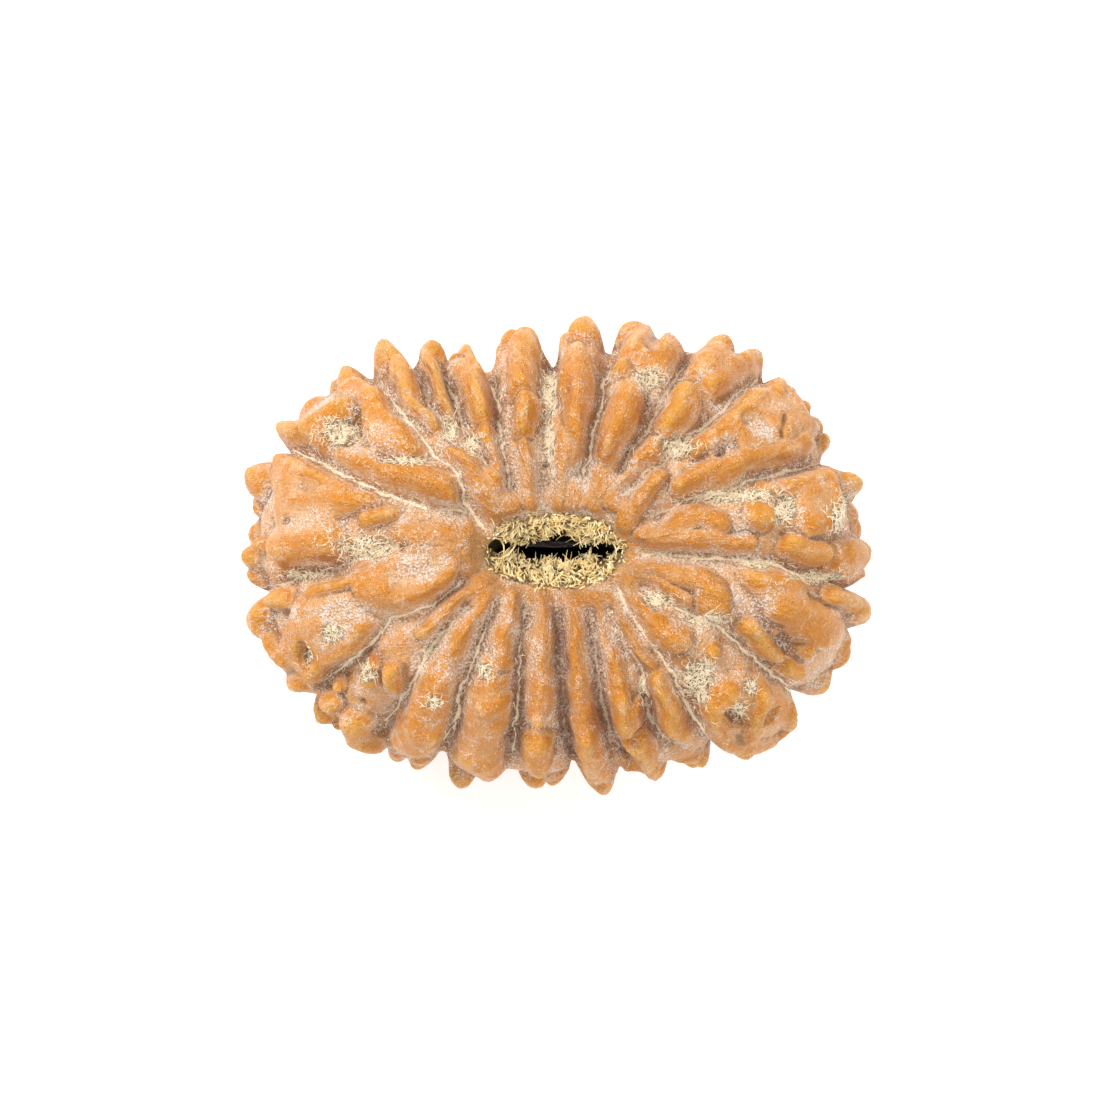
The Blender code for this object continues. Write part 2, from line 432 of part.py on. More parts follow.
def pressed_oval(points):
    """Turned points moved to where they lie on the oval body with its saddle at each pole."""
    radius = np.hypot(points[:, 0], points[:, 1])
    azimuth = np.arctan2(points[:, 1], points[:, 0])
    height = points[:, 2]
    outward = (radius - TURNED_CHANNEL) / (HALF_LENGTH - TURNED_CHANNEL)
    inner = channel_radius(azimuth, height)
    outer = outline_radius(azimuth)
    reach = inner + outward * (outer - inner)
    x = reach * np.cos(azimuth)
    y = reach * np.sin(azimuth)
    level = np.clip(height / MOUTH_LEVEL, -1.0, 1.0)
    y += np.interp(level, (-1.0, 0.0, 1.0), CHANNEL_BENDS) * np.clip(1 - outward, 0.0, 1.0) ** BEND_FADE
    saddle = SADDLE_DEPTH * np.exp(-((x / SADDLE_HALF_LENGTH) ** 2) - (y / SADDLE_HALF_BREADTH) ** 2)
    return np.column_stack([x, y, height * (1 - saddle / HALF_HEIGHT)])


def crest_point(share, azimuth):
    """The point just above the body, at a share of the way from the upper mouth to the lower one."""
    steps = np.linspace(0.0, 1.0, OUTER_STEPS + 1)
    small = 0.002

    def on_body(at, towards):
        radius = np.interp(at, steps, PROFILE_RADIUS)
        height = np.interp(at, steps, PROFILE_HEIGHT)
        turned = np.array([[radius * math.cos(towards), radius * math.sin(towards), height]])
        return pressed_oval(turned)[0]

    down = on_body(share + small, azimuth) - on_body(share - small, azimuth)
    round_it = on_body(share, azimuth + small) - on_body(share, azimuth - small)
    outwards = np.cross(down, round_it)
    return on_body(share, azimuth) + CREST_LIFT * outwards / np.linalg.norm(outwards)


def share_at_plan(x, y):
    """How far from the upper mouth a point seen from above lies, and its azimuth."""
    azimuth = math.atan2(y, x)
    inner = float(channel_radius(azimuth, MOUTH_LEVEL + MOUTH_ROUNDING))
    outer = float(outline_radius(azimuth)) + CREST_LIFT
    outward = min(max((math.hypot(x, y) - inner) / (outer - inner), 0.0), 1.0)
    radius = TURNED_CHANNEL + outward * (HALF_LENGTH - TURNED_CHANNEL)
    half = OUTER_STEPS // 2
    share = np.interp(radius, PROFILE_RADIUS[: half + 1], np.linspace(0.0, 0.5, half + 1))
    return float(share), azimuth


def share_at_height(height):
    """How far from the upper mouth the body's side lies at this height."""
    shares = np.linspace(0.0, 1.0, OUTER_STEPS + 1)
    side = slice(OUTER_STEPS // 6, -OUTER_STEPS // 6)
    return float(np.interp(-height, -PROFILE_HEIGHT[side], shares[side]))


def upper_line(plan_points):
    """A line on the upper side through points given in plan, in millimetres."""
    return np.array([crest_point(*share_at_plan(x * MM, y * MM)) for x, y in plan_points])


def hand_placed_lobes():
    """The lobes of the upper side and of the rim: (half width, height, line)."""
    lobes = [(w * MM, h * MM, upper_line(points)) for w, h, *points in UPPER_LOBES]
    for half_width, (x, y), top, bottom in RIM_LOBES:
        azimuth = math.atan2(y, x)
        shares = [share_at_height(level * MM) for level in (top, bottom)]
        line = np.array([crest_point(share, azimuth) for share in shares])
        floor = np.hypot(line[:, 0], line[:, 1]).max() - CREST_LIFT + FACE_SWELL / 2
        lobes.append((half_width * MM, max(math.hypot(x, y) * MM - floor, LEAST_RIM_LOBE), line))
    return lobes


def rim_azimuths():
    """Where each groove crosses the rim, counter-clockwise from the first."""
    ends = [math.atan2(line[-1][1], line[-1][0]) for line in UPPER_GROOVES]
    return [ends[0]] + [azimuth % math.tau if azimuth < ends[0] else azimuth for azimuth in ends[1:]]


def lower_azimuth(rim_azimuth, share):
    """A groove's azimuth below the rim: it closes in on the ends of the narrow lower mouth."""
    length, breadth = HALF_LENGTH, HALF_BREADTH
    turn = math.atan2(math.sin(rim_azimuth) / breadth, math.cos(rim_azimuth) / length)
    mouth = math.atan2(LOWER_MOUTH[1] * math.sin(turn), LOWER_MOUTH[0] * math.cos(turn))
    away = (mouth - rim_azimuth + math.pi) % math.tau - math.pi
    closing = max(0.0, (share - CLOSING_START) / (1 - CLOSING_START)) ** 2
    return rim_azimuth + CLOSING * closing * away


def lower_grooves(draw):
    """The same grooves from the rim down to the lower mouth, each with a little wander."""
    lines = []
    for azimuth in rim_azimuths():
        sway = draw.uniform(-GROOVE_SWAY, GROOVE_SWAY)
        shares = np.linspace(GROOVE_START, GROOVE_END, 8)
        turns = [azimuth + sway * math.sin(math.tau * (share - GROOVE_START)) for share in shares]
        lines.append(np.array([crest_point(s, lower_azimuth(a, s)) for s, a in zip(shares, turns)]))
    return lines


def lower_lobes(draw):
    """Columns of lobes from below the rim to the lower mouth, two or three to a face."""
    lobes = []
    edges = rim_azimuths()
    profile_length = float(np.hypot(np.diff(PROFILE_RADIUS), np.diff(PROFILE_HEIGHT)).sum())
    for start, end in zip(edges, edges[1:] + [edges[0] + math.tau]):
        middle = (start + end) / 2
        across = (end - start) * float(oval_radius(middle, (HALF_LENGTH, HALF_BREADTH)))
        columns = max(1, round(across / COLUMN_PITCH))
        for column in range(columns):
            place = (column + 0.5) / columns
            share = LOWER_START - draw.uniform(0.0, START_DRAW)
            while share < LOWER_END:
                length = draw.uniform(*LOBE_LENGTHS) / profile_length
                last = min(share + length, LOWER_END)
                inwards = (share - 0.5) / 0.5
                half_width = COLUMN_FILL * across / columns * (1 - MOUTH_NARROWING * inwards**2)
                half_width *= draw.uniform(*WIDTH_DRAW)
                height = RIM_HEIGHT + (LOWER_MOUTH_HEIGHT - RIM_HEIGHT) * inwards
                height *= draw.uniform(*HEIGHT_DRAW)
                at = start + (place + draw.uniform(-SIDEWAYS_DRAW, SIDEWAYS_DRAW) / columns) * (end - start)
                line = [crest_point(s, lower_azimuth(at, s)) for s in np.linspace(share, last, 3)]
                lobes.append((half_width, height, np.array(line)))
                share = last + draw.uniform(*LOBE_GAPS) / profile_length
    return lobes


def distance_to_line(points, line):
    """How far each point is from a line of two points or more, or from a single point."""
    if len(line) == 1:
        return np.linalg.norm(points - line[0], axis=1)
    nearest = np.full(len(points), np.inf)
    for first, second in zip(line, line[1:]):
        run = second - first
        along = np.clip((points - first) @ run / max(float(run @ run), 1e-12), 0.0, 1.0)
        nearest = np.minimum(nearest, np.linalg.norm(points - first - along[:, None] * run, axis=1))
    return nearest


def depth_in_outline(points, outline):
    """How far inside a closed outline each point lies in plan: less than zero outside it."""
    away = np.full(len(points), np.inf)
    inside = np.zeros(len(points), dtype=bool)
    for first, second in zip(outline, np.roll(outline, -1, axis=0)):
        run = second - first
        along = np.clip((points - first) @ run / (run @ run), 0.0, 1.0)
        away = np.minimum(away, np.linalg.norm(points - first - along[:, None] * run, axis=1))
        spans = (first[1] > points[:, 1]) != (second[1] > points[:, 1])
        if run[1]:
            inside ^= spans & (points[:, 0] < first[0] + (points[:, 1] - first[1]) * run[0] / run[1])
    return np.where(inside, away, -away)


def rounded(inwards):
    """A lobe's height over its full height: 0 at its edge, 1 from its middle on, with a soft foot."""
    inwards = np.clip(inwards, 0.0, 1.0)
    foot = np.clip(inwards / LOBE_FOOT, 0.0, 1.0)
    return (1 - (1 - inwards) ** 2) ** LOBE_FLANK * foot * foot * (3 - 2 * foot)


def wandered(points):
    """The points shifted a little by smooth noise, so that no lobe keeps a ruled outline."""
    shifts = [noise.noise_vector(Vector(point) / WANDER_SIZE) for point in points]
    return points + WANDER * np.array(shifts)


def relief(points, outward, draw):
    """How far each point of the body rises or sinks along its normal."""
    points = wandered(points)
    raised = np.zeros(len(points))
    for narrow_width, height, line in hand_placed_lobes() + lower_lobes(draw):
        half_width = narrow_width * LOBE_SPREAD
        near = np.all((points > line.min(0) - half_width) & (points < line.max(0) + half_width), axis=1)
        apart = distance_to_line(points[near], line) / half_width
        raised[near] += (height * rounded(1 - apart)) ** LOBE_BLEND
    for height, *outline in UPPER_PLATEAUS:
        inside = depth_in_outline(points[:, :2], np.array(outline) * MM)
        inwards = (inside / PLATEAU_EDGE + PLATEAU_FOOT) * (points[:, 2] > 0)
        raised += (height * MM * rounded(inwards)) ** LOBE_BLEND
    raised = raised ** (1 / LOBE_BLEND)
    groove = np.full(len(points), np.inf)
    for line in [upper_line(points_in_plan) for points_in_plan in UPPER_GROOVES] + lower_grooves(draw):
        groove = np.minimum(groove, distance_to_line(points, line))
    cut = np.exp(-((groove / GROOVE_WIDTH) ** 2))
    swell = FACE_SWELL * (1 - np.exp(-((groove / FACE_SWELL_WIDTH) ** 2)))
    height = raised * (1 - GROOVE_CUT * cut) + swell - GROOVE_DEPTH * cut
    hollows = [(radius, depth, upper_line(plan_points)) for radius, depth, *plan_points in UPPER_PITS]
    for radius, depth, azimuth in RIM_NOTCHES:
        shares = np.linspace(NOTCH_START, NOTCH_END, 8)
        line = np.array([crest_point(share, math.radians(azimuth)) for share in shares])
        hollows.append((radius, depth, line))
    for radius, depth, line in hollows:
        apart = distance_to_line(points, line) / (radius * MM)
        height -= depth * MM * np.clip(1 - apart**2, 0.0, 1.0)
    fade = np.clip(outward / MOUTH_FADE, 0.0, 1.0)
    return height * fade * fade * (3 - 2 * fade)


def mesh_points(mesh):
    """A mesh's vertices as an array."""
    flat = np.empty(len(mesh.vertices) * 3)
    mesh.vertices.foreach_get("co", flat)
    return flat.reshape(-1, 3)


def set_mesh_points(mesh, points):
    """Moves a mesh's vertices to these points."""
    mesh.vertices.foreach_set("co", points.ravel())
    mesh.update()


def turned_ring(collection):
    """The closed ring section turned round the channel with a Screw modifier, as a plain mesh."""
    corner = np.linspace(0.0, math.pi / 2, ROUNDING_STEPS + 2)[1:-1]
    rounding = TURNED_CHANNEL + MOUTH_ROUNDING * (1 - np.cos(corner))
    drop = MOUTH_LEVEL + MOUTH_ROUNDING * np.sin(corner)
    inner = np.linspace(-MOUTH_LEVEL, MOUTH_LEVEL, CHANNEL_STEPS + 1)
    section = list(zip(PROFILE_RADIUS, PROFILE_HEIGHT))
    section += list(zip(rounding[::-1], -drop[::-1]))
    section += [(TURNED_CHANNEL, height) for height in inner]
    section += list(zip(rounding, drop))
    mesh = bpy.data.meshes.new("section")
    corners = [(radius, 0.0, height) for radius, height in section]
    edges = [(i, (i + 1) % len(corners)) for i in range(len(corners))]
    mesh.from_pydata(corners, edges, [])
    turned = bpy.data.objects.new("section", mesh)
    collection.objects.link(turned)
    screw = turned.modifiers.new("turn", "SCREW")
    screw.axis = "Z"
    screw.angle = math.tau
    screw.steps = TURN_STEPS
    screw.render_steps = TURN_STEPS
    screw.use_merge_vertices = True
    screw.merge_threshold = 0.000001
    graph = bpy.context.evaluated_depsgraph_get()
    body = bpy.data.meshes.new_from_object(turned.evaluated_get(graph))
    bpy.data.objects.remove(turned)
    return body


def raise_relief(body):
    """Presses the turned body oval and raises its lobes, grooves and pits along its normals."""
    turned = mesh_points(body)
    set_mesh_points(body, pressed_oval(turned))
    smooth = mesh_points(body)
    normals = np.array([vertex.normal for vertex in body.vertices])
    outward = np.hypot(turned[:, 0], turned[:, 1]) - TURNED_CHANNEL
    height = relief(smooth + CREST_LIFT * normals, outward, random.Random(SEED))
    set_mesh_points(body, smooth + height[:, None] * normals)


def reduce_faces(seed):
    """Leaves only the faces that the relief needs, and makes the result the object's own mesh."""
    faces = sum(len(face.vertices) - 2 for face in seed.data.polygons)
    reduce = seed.modifiers.new("reduce", "DECIMATE")
    reduce.ratio = FACE_LIMIT / faces
    reduce.use_collapse_triangulate = True
    graph = bpy.context.evaluated_depsgraph_get()
    seed.data = bpy.data.meshes.new_from_object(seed.evaluated_get(graph))
    seed.modifiers.clear()


def wear_flat_spots(seed):
    """Cuts the lowest lobes level, and stands the nut on Z = 0 with its box centred on the origin."""
    mesh = bmesh.new()
    mesh.from_mesh(seed.data)
    level = min(vertex.co.z for vertex in mesh.verts) + WORN_OFF
    everything = mesh.verts[:] + mesh.edges[:] + mesh.faces[:]
    bmesh.ops.bisect_plane(
        mesh, geom=everything, plane_co=(0, 0, level), plane_no=(0, 0, -1), dist=1e-7, clear_outer=True
    )
    rims = [edge for edge in mesh.edges if edge.is_boundary]
    bmesh.ops.triangle_fill(mesh, use_beauty=True, edges=rims, normal=(0, 0, -1))
    bmesh.ops.triangulate(mesh, faces=mesh.faces[:])
    places = np.array([vertex.co for vertex in mesh.verts])
    middle = (places.min(0) + places.max(0)) / 2
    bmesh.ops.translate(mesh, verts=mesh.verts[:], vec=(-middle[0], -middle[1], -level))
    mesh.to_mesh(seed.data)
    mesh.free()


def nut_material():
    """The polished tan of the nut's lobes."""
    material = bpy.data.materials.new("nut_shell")
    material.use_nodes = True
    shader = material.node_tree.nodes["Principled BSDF"]
    shader.inputs["Base Color"].default_value = NUT_COLOUR
    shader.inputs["Roughness"].default_value = NUT_ROUGHNESS
    shader.inputs["Metallic"].default_value = 0.0
    return material


def main():
    """Builds the nut in a collection of its own."""
    for existing in list(bpy.data.objects):
        bpy.data.objects.remove(existing)
    collection = bpy.data.collections.new("rudraksha")
    bpy.context.scene.collection.children.link(collection)
    body = turned_ring(collection)
    raise_relief(body)
    seed = bpy.data.objects.new(NAME, body)
    collection.objects.link(seed)
    reduce_faces(seed)
    wear_flat_spots(seed)
    seed.data.shade_smooth()
    seed.data.materials.clear()
    seed.data.materials.append(nut_material())


main()
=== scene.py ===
"""The looks of one rudraksha seed: its lobed nut, the threads in its grooves, its fibres, and a pale studio."""

import logging
import math
import random
from dataclasses import dataclass, field
from enum import Enum
from functools import cached_property
from typing import Any, Iterable

import bmesh
import bpy
import numpy as np
from mathutils import Matrix, Vector, noise
from mathutils.bvhtree import BVHTree


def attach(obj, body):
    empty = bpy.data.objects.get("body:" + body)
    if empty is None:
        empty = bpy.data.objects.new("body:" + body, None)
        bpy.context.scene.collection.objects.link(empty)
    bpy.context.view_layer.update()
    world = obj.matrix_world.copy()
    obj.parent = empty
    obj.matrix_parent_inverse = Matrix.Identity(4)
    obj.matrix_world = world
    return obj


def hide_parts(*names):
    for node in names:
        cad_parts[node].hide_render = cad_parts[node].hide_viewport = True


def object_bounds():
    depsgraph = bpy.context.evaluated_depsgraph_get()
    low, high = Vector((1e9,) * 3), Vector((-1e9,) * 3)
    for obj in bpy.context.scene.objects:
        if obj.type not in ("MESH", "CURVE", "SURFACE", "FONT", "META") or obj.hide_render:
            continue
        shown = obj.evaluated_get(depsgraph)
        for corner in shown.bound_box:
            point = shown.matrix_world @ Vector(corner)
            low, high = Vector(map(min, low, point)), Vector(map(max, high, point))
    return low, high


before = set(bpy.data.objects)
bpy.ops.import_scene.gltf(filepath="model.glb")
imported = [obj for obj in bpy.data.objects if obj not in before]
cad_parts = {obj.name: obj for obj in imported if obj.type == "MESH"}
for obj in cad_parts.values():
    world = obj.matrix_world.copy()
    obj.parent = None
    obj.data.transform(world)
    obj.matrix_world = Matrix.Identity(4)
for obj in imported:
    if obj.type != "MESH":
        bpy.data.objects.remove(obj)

LOG = logging.getLogger("rudraksha")
MM = 0.001
NODE = "rudraksha_seed"
SLOT = "nut_shell"
CAD_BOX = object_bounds()

Points = np.ndarray
PlanPoint = tuple[float, float]

# The grooves between the faces on the upper side, each from the mouth out to the rim, counter-clockwise
# from +X. In millimetres, in plan, measured from the thread channel.
UPPER_GROOVES = (
    ((4.7, 0.0), (7.2, -0.25), (9.5, -0.3), (11.5, -0.45), (12.5, -0.85), (13.5, -1.15), (16.3, -1.8)),
    ((5.3, 2.0), (7.0, 2.85), (8.5, 3.1), (9.5, 3.4), (10.2, 3.9), (12.0, 4.35), (13.3, 4.7), (14.9, 5.0)),
    ((3.8, 3.2), (4.8, 4.4), (5.6, 4.6), (6.8, 5.9), (8.2, 7.0), (9.2, 7.9), (10.0, 8.8), (11.3, 9.3)),
    ((3.5, 4.4), (4.0, 5.4), (5.0, 6.6), (5.5, 7.8), (6.0, 8.7), (7.2, 10.2)),
    ((1.5, 4.2), (1.9, 5.4), (2.2, 7.0), (2.5, 8.0), (2.75, 8.9), (2.7, 9.6), (3.1, 10.9)),
    ((-0.5, 3.8), (-0.5, 5.5), (-0.4, 7.0), (-0.3, 8.5), (-0.3, 10.0)),
    ((-2.3, 3.6), (-2.6, 5.2), (-2.9, 6.8), (-3.0, 8.2), (-3.4, 9.3), (-3.5, 10.3)),
    ((-3.6, 4.8), (-4.2, 5.7), (-4.8, 6.6), (-5.1, 7.7), (-5.6, 8.7), (-6.2, 10.2)),
    ((-5.2, 5.9), (-6.0, 7.1), (-6.8, 8.0), (-7.1, 9.2), (-8.2, 10.5)),
    ((-3.7, 1.4), (-4.6, 2.6), (-5.0, 4.2), (-6.3, 5.2), (-7.2, 6.5), (-8.1, 7.4), (-8.9, 8.5), (-10.1, 9.5)),
    ((-4.8, 2.1), (-7.0, 2.4), (-9.0, 3.2), (-10.6, 3.9), (-12.2, 4.7), (-13.3, 5.3), (-14.6, 5.5)),
    ((-7.9, 0.35), (-8.8, 0.3), (-10.2, -0.2), (-11.5, -0.75), (-13.2, -1.1), (-14.6, -1.5), (-15.8, -2.1)),
    ((-4.8, -1.5), (-6.3, -2.7), (-8.6, -3.4), (-9.2, -4.2), (-10.4, -5.3), (-11.6, -6.2), (-13.2, -7.0)),
    ((-4.5, -2.8), (-5.9, -4.2), (-6.8, -5.3), (-7.3, -6.5), (-8.3, -7.9), (-9.3, -9.3)),
    ((-3.1, -2.6), (-3.8, -4.4), (-4.4, -6.1), (-4.9, -7.1), (-5.2, -8.3), (-5.4, -9.3), (-6.2, -10.7)),
    ((-1.5, -2.9), (-1.8, -5.4), (-1.9, -7.8), (-2.1, -9.2), (-2.3, -11.0)),
    ((0.2, -3.0), (0.35, -5.5), (0.5, -8.0), (0.6, -10.0), (1.1, -11.2)),
    ((1.9, -3.2), (2.2, -5.2), (2.4, -7.0), (2.8, -8.8), (3.1, -10.2), (4.0, -11.0)),
    ((2.8, -3.0), (3.7, -4.7), (4.6, -6.0), (5.0, -7.7), (5.2, -9.0), (6.4, -10.4)),
    ((3.3, -1.8), (4.2, -3.7), (5.6, -5.4), (6.5, -6.7), (7.3, -8.4), (8.0, -9.2), (8.8, -10.3)),
    ((4.5, -1.8), (6.6, -3.0), (8.8, -4.0), (10.2, -5.2), (11.5, -6.2), (12.4, -6.9), (13.2, -7.5)),
)

